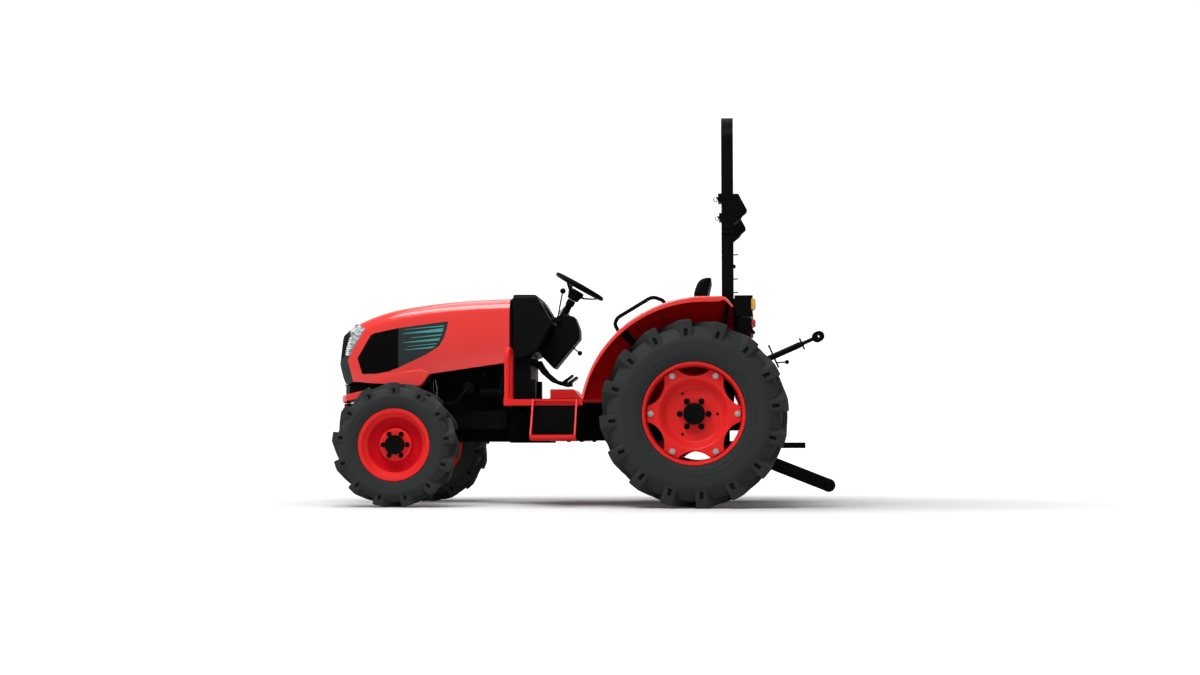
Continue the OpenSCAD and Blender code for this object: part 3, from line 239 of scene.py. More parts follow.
class Shape:
    """Gathers solids in millimetres, then makes one Blender object of them."""

    def __init__(self):
        self.bm = bmesh.new()

    def loft(self, rings, closed=True, caps=True):
        """Skins rings of points, which all have the same count."""
        rows = [[self.bm.verts.new(P(*p)) for p in ring] for ring in rings]
        count = len(rows[0])
        span = count if closed else count - 1
        for low, high in zip(rows, rows[1:]):
            for j in range(span):
                k = (j + 1) % count
                self.bm.faces.new((low[j], low[k], high[k], high[j]))
        if caps and closed:
            self.bm.faces.new(list(reversed(rows[0])))
            self.bm.faces.new(rows[-1])
        return rows

    def prism(self, outline, y0, y1):
        """A side outline in X and Z between two distances from the middle."""
        self.loft([[(x, y, z) for x, z in outline] for y in (y0, y1)])

    def box(self, lo, hi):
        self.prism([(lo[0], lo[2]), (hi[0], lo[2]), (hi[0], hi[2]), (lo[0], hi[2])], lo[1], hi[1])

    def rod(self, a, b, r, r_end=None, sides=24):
        """A round bar or cone between two points, or a hexagon with six sides."""
        start = Vector(a)
        along = Vector(b) - start
        u, v = circle_frame(along.normalized())
        ends = ((start, r), (start + along, r if r_end is None else r_end))
        self.loft([[tuple(at + radius * (c * u + s * v)) for c, s in around(sides)] for at, radius in ends])

    def tube(self, points, r, bend=0, sides=16):
        """A bent round bar through points, its corners rounded to the bend radius."""
        path = rounded_path(points, bend) if bend else [Vector(p) for p in points]
        rings = []
        u = None
        for i, centre in enumerate(path):
            along = (path[min(i + 1, len(path) - 1)] - path[max(i - 1, 0)]).normalized()
            u = circle_frame(along)[0] if u is None else (u - along * u.dot(along)).normalized()
            v = along.cross(u)
            rings.append([tuple(centre + r * (c * u + s * v)) for c, s in around(sides)])
        self.loft(rings)

    def turned(self, centre, axis, profile, steps=64, closed=False):
        """A profile of (distance along the axis, radius) turned round the axis."""
        least_r = 0.01
        middle = Vector(centre)
        along = Vector(axis).normalized()
        u, v = circle_frame(along)
        rings = []
        for d, r in profile:
            at = middle + along * d
            rings.append([tuple(at + max(r, least_r) * (c * u + s * v)) for c, s in around(steps)])
        if closed:
            rings.append(rings[0])
        self.loft(rings, caps=not closed)

    def ball(self, centre, r, steps=20):
        half_turn = around(steps + 1, 0, 180 / steps)
        self.turned(centre, (0, 1, 0), [(-r * c, r * s) for c, s in half_turn], 2 * steps)

    def bolt(self, at, axis, r, head):
        """A hexagon head on a washer."""
        base = Vector(at)
        out = Vector(axis).normalized()
        self.rod(base, base + out * 0.22 * head, 1.45 * r, sides=20)
        self.rod(base + out * 0.2 * head, base + out * head, r, sides=6)

    def both_sides(self):
        """Adds a mirror image on the other side of the tractor."""
        whole = self.bm.verts[:] + self.bm.edges[:] + self.bm.faces[:]
        copy = bmesh.ops.duplicate(self.bm, geom=whole)["geom"]
        for v in copy:
            if isinstance(v, bmesh.types.BMVert):
                v.co.y = -v.co.y
        bmesh.ops.reverse_faces(self.bm, faces=[f for f in copy if isinstance(f, bmesh.types.BMFace)])

    def solid(self, name):
        """Makes a bare object, to cut others with or to work on."""
        bmesh.ops.recalc_face_normals(self.bm, faces=self.bm.faces)
        mesh = bpy.data.meshes.new(name)
        self.bm.to_mesh(mesh)
        self.bm.free()
        piece = bpy.data.objects.new(name, mesh)
        bpy.context.scene.collection.objects.link(piece)
        return piece

    def make(self, name, material, slot=None, node=None, body="chassis", bevel=0.0, smooth=35, segments=2):
        """Makes the finished object, riding on a CAD body. Bevel is in millimetres."""
        piece = self.solid(name)
        coat(piece.data, material, smooth)
        if bevel:
            round_edges(piece, bevel, segments)
        declare(piece, body, node)
        return piece


# Curves and outlines


def spline(points, steps=4):
    """A smooth line through points of any number of coordinates."""
    ends = [points[0], *points, points[-1]]
    line = []
    for quad in zip(ends, ends[1:], ends[2:], ends[3:]):
        for i in range(steps):
            t = i / steps
            at = []
            for p, q, r, s in zip(*quad):
                bend = (2 * p - 5 * q + 4 * r - s) * t * t + (3 * q - p - 3 * r + s) * t ** 3
                at.append(0.5 * (2 * q + (r - p) * t + bend))
            line.append(tuple(at))
    line.append(tuple(points[-1]))
    return line


def lookup(table, at):
    """The value at a place in a table of (place, value), straight between its entries."""
    if at <= table[0][0]:
        return table[0][1]
    for (a, u), (b, v) in zip(table, table[1:]):
        if at <= b:
            return u + (v - u) * (at - a) / (b - a)
    return table[-1][1]


def eased(t):
    """Runs from 0 to 1 with a soft start and end."""
    return t * t * (3 - 2 * t)


# Wheels and tyres

Wheel = namedtuple("Wheel", "end x r w rim_r rim_w flange_h lug_h lugs lug_turn track well well_at steps")
REAR = Wheel("rear", 0, 610, 340, 334, 290, 14, 38, 16, 0.5, 1400, 6, 50, 160)
FRONT = Wheel("front", WHEELBASE, 410, 240, 239, 200, 22, 30, 13, 0, 1350, 26, 26, 144)
FLANGE_T = 8
RIM_T = 8
TYRE_STEPS = 144
FIT = 0.3
LUG_PAST_MID = 10
LUG_DRAFT = 9
LUG_CHAMFER = 5


def on_wheel(wheel, side, turn, radius, out):
    """A point of a wheel by its angle from the front, radius and distance out from the tyre's middle."""
    w = math.radians(turn)
    return (wheel.x + radius * math.cos(w), side * (wheel.track / 2 + out), wheel.r + radius * math.sin(w))


def wheel_ring(wheel, side, profile, steps=128, closed=True):
    """A profile of (distance out, radius) turned round a wheel's axle."""
    shape = Shape()
    shape.turned((wheel.x, side * wheel.track / 2, wheel.r), (0, side, 0), profile, steps, closed)
    return shape


def rim_inside(wheel):
    """Inner radius of a rim's barrel."""
    return wheel.rim_r - wheel.flange_h - wheel.well - RIM_T


def carcass_half(wheel):
    """Half a tyre's section as (distance out, radius), from the bead to the crown."""
    r, w = wheel.r, wheel.w
    crown = r - wheel.lug_h
    wall = crown - wheel.rim_r
    half = w / 2
    bead = wheel.rim_w / 2 - FLANGE_T - FIT
    lower = [(bead, FIT), (bead + 10, 9), (bead + 15, 22), (half - 9, 0.2 * wall), (half - 3, 0.37 * wall),
             (half, 0.55 * wall)]
    upper = [(0.006, 0.79), (0.022, 0.815), (0.05, 0.84), (0.08, 0.87), (0.13, 0.9)]
    line = [(out, wheel.rim_r + height) for out, height in lower]
    line += [(half - inset * w, share * r) for inset, share in upper]
    line += [(half - 0.2 * w, crown - 7), (w / 5, crown - 3), (0, crown)]
    return [(bead, wheel.rim_r - wheel.flange_h + FIT)] + spline(line, 4)


# Rings of a lug: its share of the way out, the drop of its top, and the depth of the pocket in its end,
# the last two by the tyre's radius
LUG_RINGS = ((0, 0.026, 0), (0.03, 0.018, 0), (0.3, 0.01, 0), (0.6, 0.004, 0), (0.84, 0, 0), (0.915, 0, 0),
             (0.94, 0.008, 0), (0.955, 0.05, 0), (0.966, 0.094, 0), (0.968, 0.1, 0.017), (0.98, 0.17, 0.01),
             (0.981, 0.178, 0), (0.983, 0.2, 0))


def add_lug(shape, pocket_shade, wheel, side, row, turn):
    """One tread lug, from past the tyre's middle back to its shoulder, with a pocket in its end whose floor
    is laid in near-black rubber as painted shade.
    """
    crown = wheel.r - wheel.lug_h
    reach = wheel.r * math.pi / wheel.lugs
    inner_w = 0.5 * reach
    outer_w = 0.66 * reach
    start = 0.9 * reach - inner_w / 2
    end = outer_w / 2 - 0.9 * reach
    travel = wheel.w / 2 - 1 + LUG_PAST_MID
    skin = list(reversed(carcass_half(wheel)[8:]))
    rings = []
    floor = []
    for share, drop, recess in LUG_RINGS:
        out = share * travel - LUG_PAST_MID
        middle = start + (end - start) * (min(share, 0.93) + 0.1 * math.sin(math.pi * share))
        width = (inner_w + (outer_w - inner_w) * share) * (1 - 1.9 * max(0, drop - 0.03))
        pocket = (0.16 + 0.8 * max(0, drop - 0.1)) * outer_w
        top = wheel.r * (1 - drop)
        edge = top - LUG_CHAMFER
        deep = wheel.r * recess
        base = min(lookup(skin, abs(out)) - 12, top - 20)
        half = [(width / 2 + LUG_DRAFT, base, 0), (width / 2, edge, 0), (width / 2 - LUG_CHAMFER, top, 0),
                (pocket, top, 0), (0.8 * pocket, top, deep)]
        section = [(-across, radius, inward) for across, radius, inward in half] + half[::-1]

        def at(across, radius, inward):
            angle = turn - math.degrees((middle + across) / crown)
            return on_wheel(wheel, side, angle, radius, row * (out - inward))

        rings.append([at(*place) for place in section])
        if recess:
            wide = 0.78 * pocket
            floor.append([at(across, top, deep - lift)
                          for across, lift in ((-wide, -3), (-wide, 0.5), (wide, 0.5), (wide, -3))])
    shape.loft(rings)
    pocket_shade.loft(floor)


def make_tyre(wheel, side_name, side):
    half = carcass_half(wheel)
    section = half + [(-out, radius) for out, radius in reversed(half[:-1])]
    shape = wheel_ring(wheel, side, section, TYRE_STEPS)
    pocket_shade = Shape()
    pitch = 360 / wheel.lugs
    for i in range(wheel.lugs):
        add_lug(shape, pocket_shade, wheel, side, 1, -(i + wheel.lug_turn) * pitch)
        add_lug(shape, pocket_shade, wheel, side, -1, -(i + wheel.lug_turn + 0.5) * pitch)
    wall = wheel.r - wheel.lug_h - wheel.rim_r
    skin = [(radius, out) for out, radius in half[1:]]
    for share, height in ((0.14, 2.5), (0.27, 1.5)):
        middle = wheel.rim_r + share * wall
        ridge = ((-5, -3), (-3, height), (3, height), (5, -3))
        band = [(lookup(skin, middle + d) + rise, middle + d) for d, rise in ridge]
        for face in (1, -1):
            shape.turned((wheel.x, side * wheel.track / 2, wheel.r), (0, face, 0), band, TYRE_STEPS, True)
    name = f"tyre_{wheel.end}_{side_name}"
    body = f"{wheel.end}_wheel_{side_name}"
    shape.make(f"{name}_rubber", TYRE, "tyre_rubber", name, body, smooth=32)
    # The pocket floors are painted shade, in near-black rubber.
    pocket_shade.make(f"{name}_pockets", TYRE_POCKET_SHADE, "tyre_rubber", None, body)


def rim_section(wheel):
    """Closed section of a rim as (distance out, radius), with rolled flanges and a well in its middle."""
    edge = wheel.rim_w / 2
    bead = wheel.rim_r - wheel.flange_h
    foot = edge - FLANGE_T
    slope = edge - wheel.well_at
    bottom = bead - wheel.well
    half = [(edge - 1.5, wheel.rim_r), (foot + 2, wheel.rim_r), (foot, wheel.rim_r - 3), (foot, bead + 4),
            (foot - 4, bead), (slope, bead), (slope - 25, bottom)]
    inner = [(slope - 25, bottom - RIM_T), (slope, bead - RIM_T), (foot - 4, bead - RIM_T),
             (foot + 3, bead - RIM_T + 5), (edge - 1, wheel.rim_r - RIM_T - 5),
             (edge, wheel.rim_r - RIM_T + 2), (edge, wheel.rim_r - 2)]
    return half + [(-d, r) for d, r in reversed(half)] + [(-d, r) for d, r in reversed(inner)] + inner


def add_studs(shape, wheel, side, face, circle, steps):
    """Six studs on a circle, each a stack of (start, end, radius, end radius, sides)."""
    axis = Vector((0, side, 0))
    for i in range(6):
        seat = Vector(on_wheel(wheel, side, 60 * i, circle, face))
        for start, end, r, r_end, sides in steps:
            shape.rod(seat + axis * start, seat + axis * end, r, r_end, sides)


def nut_steps(nut):
    """A wheel nut on its stud, over a washer."""
    return ((0, 4, 1.5 * nut, None, 24), (3, 21, nut, 0.86 * nut, 6), (20, 29, 0.55 * nut, 0.5 * nut, 14))


def window_edge(turn, rim_in):
    """Outer radius of the rear disc at an angle: scalloped between its six lobes."""
    scallop_at = 400
    scallop_r = 155
    off = math.radians(abs((turn % 60) - 30))
    reach = scallop_r ** 2 - (scallop_at * math.sin(off)) ** 2
    if reach <= 0:
        return rim_in
    return min(rim_in, scallop_at * math.cos(off) - math.sqrt(reach))


# Face of the rear disc as (radius, distance out), from the hub to the lobes
DISC_FACE = ((71.5, 37), (120, 37), (172, 37), (179, 38), (185, 42), (204, 66), (222, 90), (229, 95.5),
             (237, 97))
DISC_T = 12
REAR_BOLT = ((0, 4, 19, None, 28), (4, 13, 15, 13, 6), (13, 17, 9, 8, 24))
REAR_HUB = [(25.2, 71.2), (62, 71.2), (74, 68), (79, 60), (80, 46), (74, 43), (73, 30), (77, 27), (78, 1)]
FRONT_BOSS = [(44, 62.5), (45.6, 63), (45.6, 98), (44.2, 104), (40.5, 107.5), (39, 106)]
FRONT_HUB = [(35.2, 62.2), (70, 62.2), (81, 59), (87, 52), (89, 40), (85, 37), (84, 24), (88, 21), (88.5, 1)]


def make_rear_wheel(side_name, side):
    wheel = REAR
    name = f"wheel_rear_{side_name}"
    body = f"rear_wheel_{side_name}"
    rim_in = rim_inside(wheel)
    rim = wheel_ring(wheel, side, rim_section(wheel), wheel.steps)

    def add_lobe(middle, half, low, outs):
        corners = ((-half, low), (half, low), (half, rim_in + 3), (-half, rim_in + 3))
        rim.loft([[on_wheel(wheel, side, middle + turn, radius, out) for turn, radius in corners]
                  for out in outs])

    for i in range(6):
        for across in (-6, 6):
            add_lobe(60 * i + across, 0.8, 256, (50, 84.6))
        add_lobe(60 * i, 6.5, 250, (73, 84.6))
    rim.make(f"{name}_rim", RED_IN, "red_paint", None, body, bevel=1.2, smooth=40)
    turns = [0.75 * i for i in range(480)]
    rings = [[on_wheel(wheel, side, t, 71.5, 25) for t in turns]]
    for radius, out in DISC_FACE:
        rings.append([on_wheel(wheel, side, t, radius, out) for t in turns])
    for inset, out in ((2, 97), (0, 95), (0, 87), (2, 85)):
        rings.append([on_wheel(wheel, side, t, window_edge(t, rim_in) - FIT - inset, out) for t in turns])
    for radius, out in reversed(DISC_FACE):
        wider = radius + (6 if radius > 165 else 0)
        rings.append([on_wheel(wheel, side, t, wider, out - DISC_T) for t in turns])
    disc = Shape()
    disc.loft(rings, caps=False)
    disc.make(f"{name}_disc", RED_IN, "red_paint", name, body, smooth=40)
    bolts = Shape()
    add_studs(bolts, wheel, side, 97, 281, REAR_BOLT)
    bolts.make(f"{name}_bolts", ZINC, body=body, smooth=30)
    hub = wheel_ring(wheel, side, REAR_HUB, 64, False)
    add_studs(hub, wheel, side, 37, 94, nut_steps(13))
    for turn in (180, 60, 300):
        hole = Vector(on_wheel(wheel, side, turn, 152, 37.2))
        hub.rod(hole, hole + Vector((0, side * 0.6, 0)), 9.5, sides=24)
    hub.make(f"hub_rear_{side_name}_cap", BLACK, body=body)


def make_front_wheel(side_name, side):
    wheel = FRONT
    name = f"wheel_front_{side_name}"
    body = f"front_wheel_{side_name}"
    rim = wheel_ring(wheel, side, rim_section(wheel), wheel.steps)
    rim.make(f"{name}_rim", RED_IN, "red_paint", None, body, bevel=1, smooth=40)
    front = spline([(45, 62.5), (45, 84), (45, 98), (43.5, 104), (36, 110), (25, 115), (20, 121), (18, 130),
                    (18, 150), (21, 170), (26, rim_inside(wheel) + 3)], 4)
    back = [(out - 10, radius) for out, radius in reversed(front)]
    disc = wheel_ring(wheel, side, front + back)
    # The dish takes the darker red: painted shade inside the rim.
    disc.make(f"{name}_disc", RED_DISH_SHADE, "red_paint", name, body, smooth=40)
    boss = wheel_ring(wheel, side, FRONT_BOSS, 96)
    boss.make(f"{name}_boss", RED_IN, "red_paint", None, body, smooth=40)
    hub = wheel_ring(wheel, side, FRONT_HUB, 56, False)
    add_studs(hub, wheel, side, 45, 81, nut_steps(11))
    hub.make(f"hub_front_{side_name}_cap", BLACK, body=body)


for name, sign in SIDES:
    make_tyre(REAR, name, sign)
    make_tyre(FRONT, name, sign)
    make_rear_wheel(name, sign)
    make_front_wheel(name, sign)


# Bonnet

BONNET_REAR = 1270
BONNET_FRONT = 2475
BONNET_TOP = 1425
BONNET_WALL = 8
BONNET_HALF = 305
TOP_DROP = [(0, 0), (0.17, 7), (0.333, 20), (0.5, 43), (0.669, 76), (0.804, 124), (0.905, 178), (0.977, 236)]
FRONT_DROP = (1, 432)
BOTTOM_DROP = [(0, 450), (0.457, 529), (0.5, 612), (0.804, 590), (0.896, 578), (0.958, 593), (1, 593)]
WIDTH_SHARE = [(0, 1), (0.333, 1.02), (0.669, 1), (0.86, 0.93), (0.945, 0.82), (1, 0.66)]
CREASE_DROP = 82
SLOPE_DROP = 455
NOSE_SLOPE = 0.34
BONNET_STATIONS = 44


def on_bonnet(share, drop):
    """A place on the bonnet's side by share of its length and drop from its rear edge, as X and Z."""
    return (BONNET_REAR + share * (BONNET_FRONT - BONNET_REAR), BONNET_TOP - drop)


def bonnet_outline(*places):
    return [on_bonnet(*place) for place in places]


TOP_LINE = spline(TOP_DROP, 6) + [FRONT_DROP]
WIDTH_LINE = spline(WIDTH_SHARE, 6)


def bonnet_section(share, wall):
    """A cross-section of the bonnet as Y and Z, drawn in by the wall."""
    w = BONNET_HALF * lookup(WIDTH_LINE, share) - wall
    top = BONNET_TOP - lookup(TOP_LINE, share) - wall
    bottom = BONNET_TOP - lookup(BOTTOM_DROP, share)
    crease = max(bottom + 12, top + wall - CREASE_DROP)
    height = crease - bottom
    side = spline([(w - 14, bottom), (w - 4, bottom + 0.3 * height), (w, bottom + 0.6 * height),
                   (w - 6, crease - 6)], 5)
    crown = spline([(w - 9, crease + 4), (w - 24, crease + 0.45 * (top - crease)), (w - 52, top - 20),
                    (w - 100, top - 8), (0.42 * w, top - 2.5), (0, top)], 6)
    half = side + crown
    return half + [(-y, z) for y, z in reversed(half[:-1])]


def slope_back(share, z):
    """How far the lower front of the nose slopes back at a height."""
    return NOSE_SLOPE * lookup([(0.9, 0), (1, 1)], share) * max(0, BONNET_TOP - SLOPE_DROP - z)


def bonnet_shell(name, proud=0, wall=BONNET_WALL):
    """The whole closed shell of the bonnet, as an object to be cut up, standing proud of its own surface."""
    even = {0.5 * (1 - math.cos(math.pi * i / BONNET_STATIONS)) for i in range(BONNET_STATIONS + 1)}
    outer = []
    inner = []
    for share in sorted(even | {0.457, 0.5, 0.977}):
        x = on_bonnet(share, 0)[0]
        front = x + proud * (share > 0.9)
        back = x - wall * (share > 0.5)
        outer.append([(front - slope_back(share, z), y, z) for y, z in bonnet_section(share, -proud)])
        inner.append([(back - slope_back(share, z), y, z) for y, z in bonnet_section(share, wall)])
    shape = Shape()
    rows = shape.loft(outer, closed=False)
    inside = shape.loft(inner, closed=False)
    face = shape.bm.faces.new
    for a, b, c, d in zip(rows[0], rows[0][1:], inside[0][1:], inside[0]):
        face((a, b, c, d))
    for edge in (0, -1):
        for a, b, c, d in zip(rows, rows[1:], inside[1:], inside):
            face((a[edge], b[edge], c[edge], d[edge]))
    for end in (rows[-1], inside[-1]):
        half = len(end) // 2
        for j in range(half - 1):
            face((end[j], end[j + 1], end[-2 - j], end[-1 - j]))
        face((end[half - 1], end[half], end[half + 1]))
    face((rows[-1][0], rows[-1][-1], inside[-1][-1], inside[-1][0]))
    return shape.make(name, RED, body="bonnet", smooth=28)


def evaluated_mesh(piece):
    """A mesh of an object with its modifiers applied."""
    bpy.context.view_layer.update()
    return bpy.data.meshes.new_from_object(piece.evaluated_get(bpy.context.evaluated_depsgraph_get()))


def carved(source, name, material, node=None, keep=(), drop=()):
    """A bonnet piece: a copy of a closed object, kept inside some closed shapes and cut by others."""
    piece = source.copy()
    piece.data = source.data.copy()
    piece.name = name
    bpy.context.scene.collection.objects.link(piece)
    tools = []
    for operation, cutters in (("INTERSECT", keep), ("DIFFERENCE", drop)):
        for cutter in cutters:
            tool = cutter.solid(name + "_cutter")
            tools.append(tool)
            step = piece.modifiers.new("carve", "BOOLEAN")
            step.operation = operation
            step.object = tool
            step.solver = "EXACT"
    mesh = evaluated_mesh(piece)
    piece.modifiers.clear()
    piece.data = mesh
    coat(mesh, material, 28)
    for tool in tools:
        bpy.data.objects.remove(tool)
    declare(piece, "bonnet", node)
    return piece


BEYOND = 500
SIDE_GRILLE = bonnet_outline((0.878, 418), (0.799, 258), (0.777, 246), (0.636, 212), (0.636, 485),
                             (0.692, 511), (0.77, 527), (0.85, 527))
PANEL_REAR = [(0.35, 168), (0.358, 220), (0.375, 286), (0.402, 338), (0.454, 380), (0.511, 417), (0.636, 485)]
SIDE_PANEL = bonnet_outline((0.636, 212), *PANEL_REAR)
SIDE_OPENING = SIDE_GRILLE[:3] + SIDE_PANEL + SIDE_GRILLE[5:]
NOSE = bonnet_outline((0.896, 170), (0.834, 212), (0.939, 429), (0.896, 620), (1.1, 620), (1.1, 170))
CHEEK = bonnet_outline((0.9, 372), (0.96, 398), (1.002, 458), (1.1, 462), (1.1, 640), (0.86, 640), (0.9, 429))
LAMP = bonnet_outline((0.885, 150), (0.82, 205), (0.918, 398), (0.959, 394), (0.928, 255), (0.936, 215),
                      (0.916, 160))
LAMP_BACK = bonnet_outline((0.892, 176), (0.842, 214), (0.926, 392), (0.95, 390), (0.926, 250), (0.93, 214),
                           (0.91, 176))
LAMP_IN = 105
GRILLE_IN = 90
GRILLE_PITCH = 13
GRILLE_GAP = 6.5
GRILLE_BORDER = 12
NOSE_SLOTS = 13
NOSE_SLOT_DROP = 258
NOSE_SLOT_PITCH = 15
NOSE_SLOT_HALF = (88, 4)


def through(outline, y0=-BEYOND, y1=BEYOND):
    """A side outline in X and Z right through the tractor, or between two distances from its middle."""
    shape = Shape()
    shape.prism(outline, y0, y1)
    return shape


def span_at(outline, z):
    """Lowest and highest X of an outline at a height."""
    hits = []
    for (xa, za), (xb, zb) in zip(outline, outline[1:] + outline[:1]):
        if (za - z) * (zb - z) < 0:
            hits.append(xa + (xb - xa) * (z - za) / (zb - za))
    return (min(hits), max(hits)) if hits else None


def grille_slots(y0, y1):
    """Level slots across the side grille, as one cutter."""
    shape = Shape()
    low = min(place[1] for place in SIDE_GRILLE) + GRILLE_BORDER
    high = max(place[1] for place in SIDE_GRILLE) - GRILLE_BORDER
    for i in range(int((high - low) / GRILLE_PITCH) + 1):
        z = low + i * GRILLE_PITCH
        span = span_at(SIDE_GRILLE, z)
        if span and span[1] - span[0] > 3 * GRILLE_BORDER:
            shape.box((span[0] + GRILLE_BORDER, y0, z - GRILLE_GAP / 2),
                      (span[1] - GRILLE_BORDER, y1, z + GRILLE_GAP / 2))
    return shape


def nose_slots():
    """Level slots across the nose, between the headlamps and under them."""
    wide, high = NOSE_SLOT_HALF
    shape = Shape()
    for i in range(NOSE_SLOTS):
        z = BONNET_TOP - NOSE_SLOT_DROP - NOSE_SLOT_PITCH * i
        shape.box((BONNET_FRONT - 110, -wide, z - high), (BONNET_FRONT + 50, wide, z + high))
    return shape


def lamp_blocks():
    """The room of both headlamps, as one cutter."""
    shape = Shape()
    for y0, y1 in ((LAMP_IN, BEYOND), (-BEYOND, -LAMP_IN)):
        shape.prism(LAMP, y0, y1)
    return shape


def nose_cuts():
    """What is cut from both materials of the nose: the headlamps and the slots."""
    return [through(LAMP, LAMP_IN, BEYOND), through(LAMP, -BEYOND, -LAMP_IN), nose_slots()]


# Stripes of the side panel: drop of the middle, height at the rear and place of the front tip
STRIPES = ((200, 8, 0.6), (228, 26, 0.615), (262, 10, 0.57), (292, 20, 0.61), (322, 7, 0.58), (346, 14, 0.6))
STRIPE_LEAN = 26 / 0.25
STRIPE_MARGIN = 0.02
STRIPE_PROUD = 1.2


def panel_stripe(drop, height, front):
    """A swoosh that tapers to a point from the side panel's rear edge, leaning with the bonnet."""
    rear = [(d, share) for share, d in PANEL_REAR]
    high = drop - height / 2
    low = drop + height / 2
    top = lookup(rear, high) + STRIPE_MARGIN
    bottom = lookup(rear, low) + STRIPE_MARGIN
    tip = drop + STRIPE_LEAN * (front - top)
    return bonnet_outline((top, high), (bottom, low), (front, tip + 1), (front, tip - 1))


def make_bonnet():
    """Cuts the shell into skin, grilles, panels, nose and lenses, and lays the stripes on it."""
    shell = bonnet_shell("bonnet_shell")
    skin = carved(shell, "bonnet_skin", RED, "hood", (), (through(SIDE_OPENING), through(NOSE)))
    round_edges(skin, 1.5, angle=50, harden=False)
    carved(shell, "bonnet_side_grilles", PLASTIC, "side_grilles", (through(SIDE_GRILLE),),
           (grille_slots(GRILLE_IN, BEYOND), grille_slots(-BEYOND, -GRILLE_IN)))
    carved(shell, "bonnet_side_panels", GREY, "side_panels", (through(SIDE_PANEL),))
    carved(shell, "bonnet_nose", PLASTIC, "nose_grille", (through(NOSE),),
           [through(CHEEK)] + nose_cuts())
    carved(shell, "bonnet_cheeks", GREY, None, (through(NOSE), through(CHEEK)), nose_cuts())
    carved(shell, "headlamp_lenses", LENS, "headlamps", (through(NOSE), lamp_blocks()))
    bpy.data.objects.remove(shell)
    # A black sheet sunk behind the side grilles, so their slots show black: painted shade for the dark inside
    # of the bonnet.
    shade_lining = bonnet_shell("shade_lining_shell", -13, 16)
    carved(shade_lining, "bonnet_grille_shade_backs", PLASTIC, None, (through(SIDE_GRILLE),))
    bpy.data.objects.remove(shade_lining)
    proud = bonnet_shell("stripe_shell", STRIPE_PROUD)
    for i, stripe in enumerate(STRIPES):
        carved(proud, f"panel_stripe_{i}", TEAL, keep=(through(panel_stripe(*stripe)),))
    bpy.data.objects.remove(proud)


FLARE_TOP = [(1796, 897), (1886, 928), (2117, 895), (2181, 878), (2240, 848)]


def make_flares():
    """Raised lower edge of the bonnet over each front wheel."""
    shape = Shape()
    rings = []
    for x in (1830, 1850, 1886, 1960, 2040, 2117, 2181, 2215):
        share = (x - BONNET_REAR) / (BONNET_FRONT - BONNET_REAR)
        w = BONNET_HALF * lookup(WIDTH_LINE, share)
        top = lookup(FLARE_TOP, x)
        low = min(BONNET_TOP - lookup(BOTTOM_DROP, share) + 0.4, top - 6)
        rings.append([(x, w - 10, top), (x, w + 1.5, top - 3), (x, w + 9, low + 0.35 * (top - low)),
                      (x, w + 9, low), (x, w - 18, low)])
    shape.loft(rings)
    shape.both_sides()
    shape.make("bonnet_flares", RED, "red_paint", None, "bonnet", bevel=2, smooth=25)


LAMP_FACETS = 6
BULBS = ((0.9, 235, 30), (0.918, 305, 30), (0.935, 360, 20))
BULB_OUT = 150
BULB_AXIS = (1, 0.25, 0)


def lamp_point(t, across):
    """A place on the side of a headlamp, down its length and across it, as X and Z."""
    half = 0.034 - 0.022 * t
    return on_bonnet(0.874 + 0.068 * t + across * half, 196 + 192 * t - across * 12)


def make_headlamps():
    """Stepped reflector, bulb projectors and dark frame behind each lens."""
    bowls = Shape()
    for share, drop, r in BULBS:
        x, z = on_bonnet(share, drop)
        bowl = [(-6, 4), (0, 0.45 * r), (10, 0.8 * r), (24, r), (26, r), (24, r + 2)]
        bowls.turned((x - 42, BULB_OUT, z), BULB_AXIS, bowl, 32)
        bowls.turned((x - 36, BULB_OUT, z), BULB_AXIS, [(0, 9), (16, 9), (20, 6), (21, 0.1)], 20)
    for i in range(LAMP_FACETS):
        top = (i + 0.04) / LAMP_FACETS
        low = (i + 0.84) / LAMP_FACETS
        outline = [lamp_point(top, -0.9), lamp_point(top, 0.9), lamp_point(low, 0.5), lamp_point(low, -0.9)]
        deep = 200 - 5 * i
        bowls.loft([[(x, deep + lift, z) for (x, z), lift in zip(outline, lifts)]
                    for lifts in ((0, 0, 0, 0), (8, 26, 14, 4))])
    bowls.both_sides()
    bowls.make("headlamp_reflectors", MIRROR, "bright_steel", None, "bonnet", smooth=30)
    backs = through(LAMP_BACK, 108, 172)
    backs.both_sides()
    backs.make("headlamp_backs", PLASTIC, "black_plastic", None, "bonnet", bevel=3)


make_bonnet()
make_flares()
make_headlamps()


# Fenders and rails

FENDER_MID = (-70, 553)
FENDER_R = 822
FENDER_IN = 505
FENDER_START = 11.15
FENDER_STEPS = 44
FENDER_TAIL = (-258, 1310)
FENDER_T = 5
WALL_T = 3
LIP_LOW = 20
LIP_HIGH = 38
LIP_TAIL = 14
RAIL_Y = 600


def on_fender(turn, height, y):
    """A point by its angle round the wheel's arch and its height over the fender's sheet."""
    w = math.radians(turn)
    r = FENDER_R + height
    return (FENDER_MID[0] + r * math.cos(w), y, FENDER_MID[1] + r * math.sin(w))


def fender_path():
    """The fender's top line with its outward normals, from the platform to the tail."""
    top = FENDER_MID[1] + FENDER_R
    turns = [FENDER_START + (90 - FENDER_START) * i / FENDER_STEPS for i in range(FENDER_STEPS + 1)]
    line = [on_fender(turn, 0, 0)[::2] for turn in turns]
    tail = ((-110, 0), (-150, 0), (-178, 0), (-193, 2.5), (-206, 8), (-218, 18))
    line += [(x, top - drop) for x, drop in tail] + [FENDER_TAIL]
    path = []
    for i, at in enumerate(line):
        before = Vector(line[max(i - 1, 0)])
        after = Vector(line[min(i + 1, len(line) - 1)])
        along = (after - before).normalized()
        path.append((at, (along.y, -along.x)))
    return path


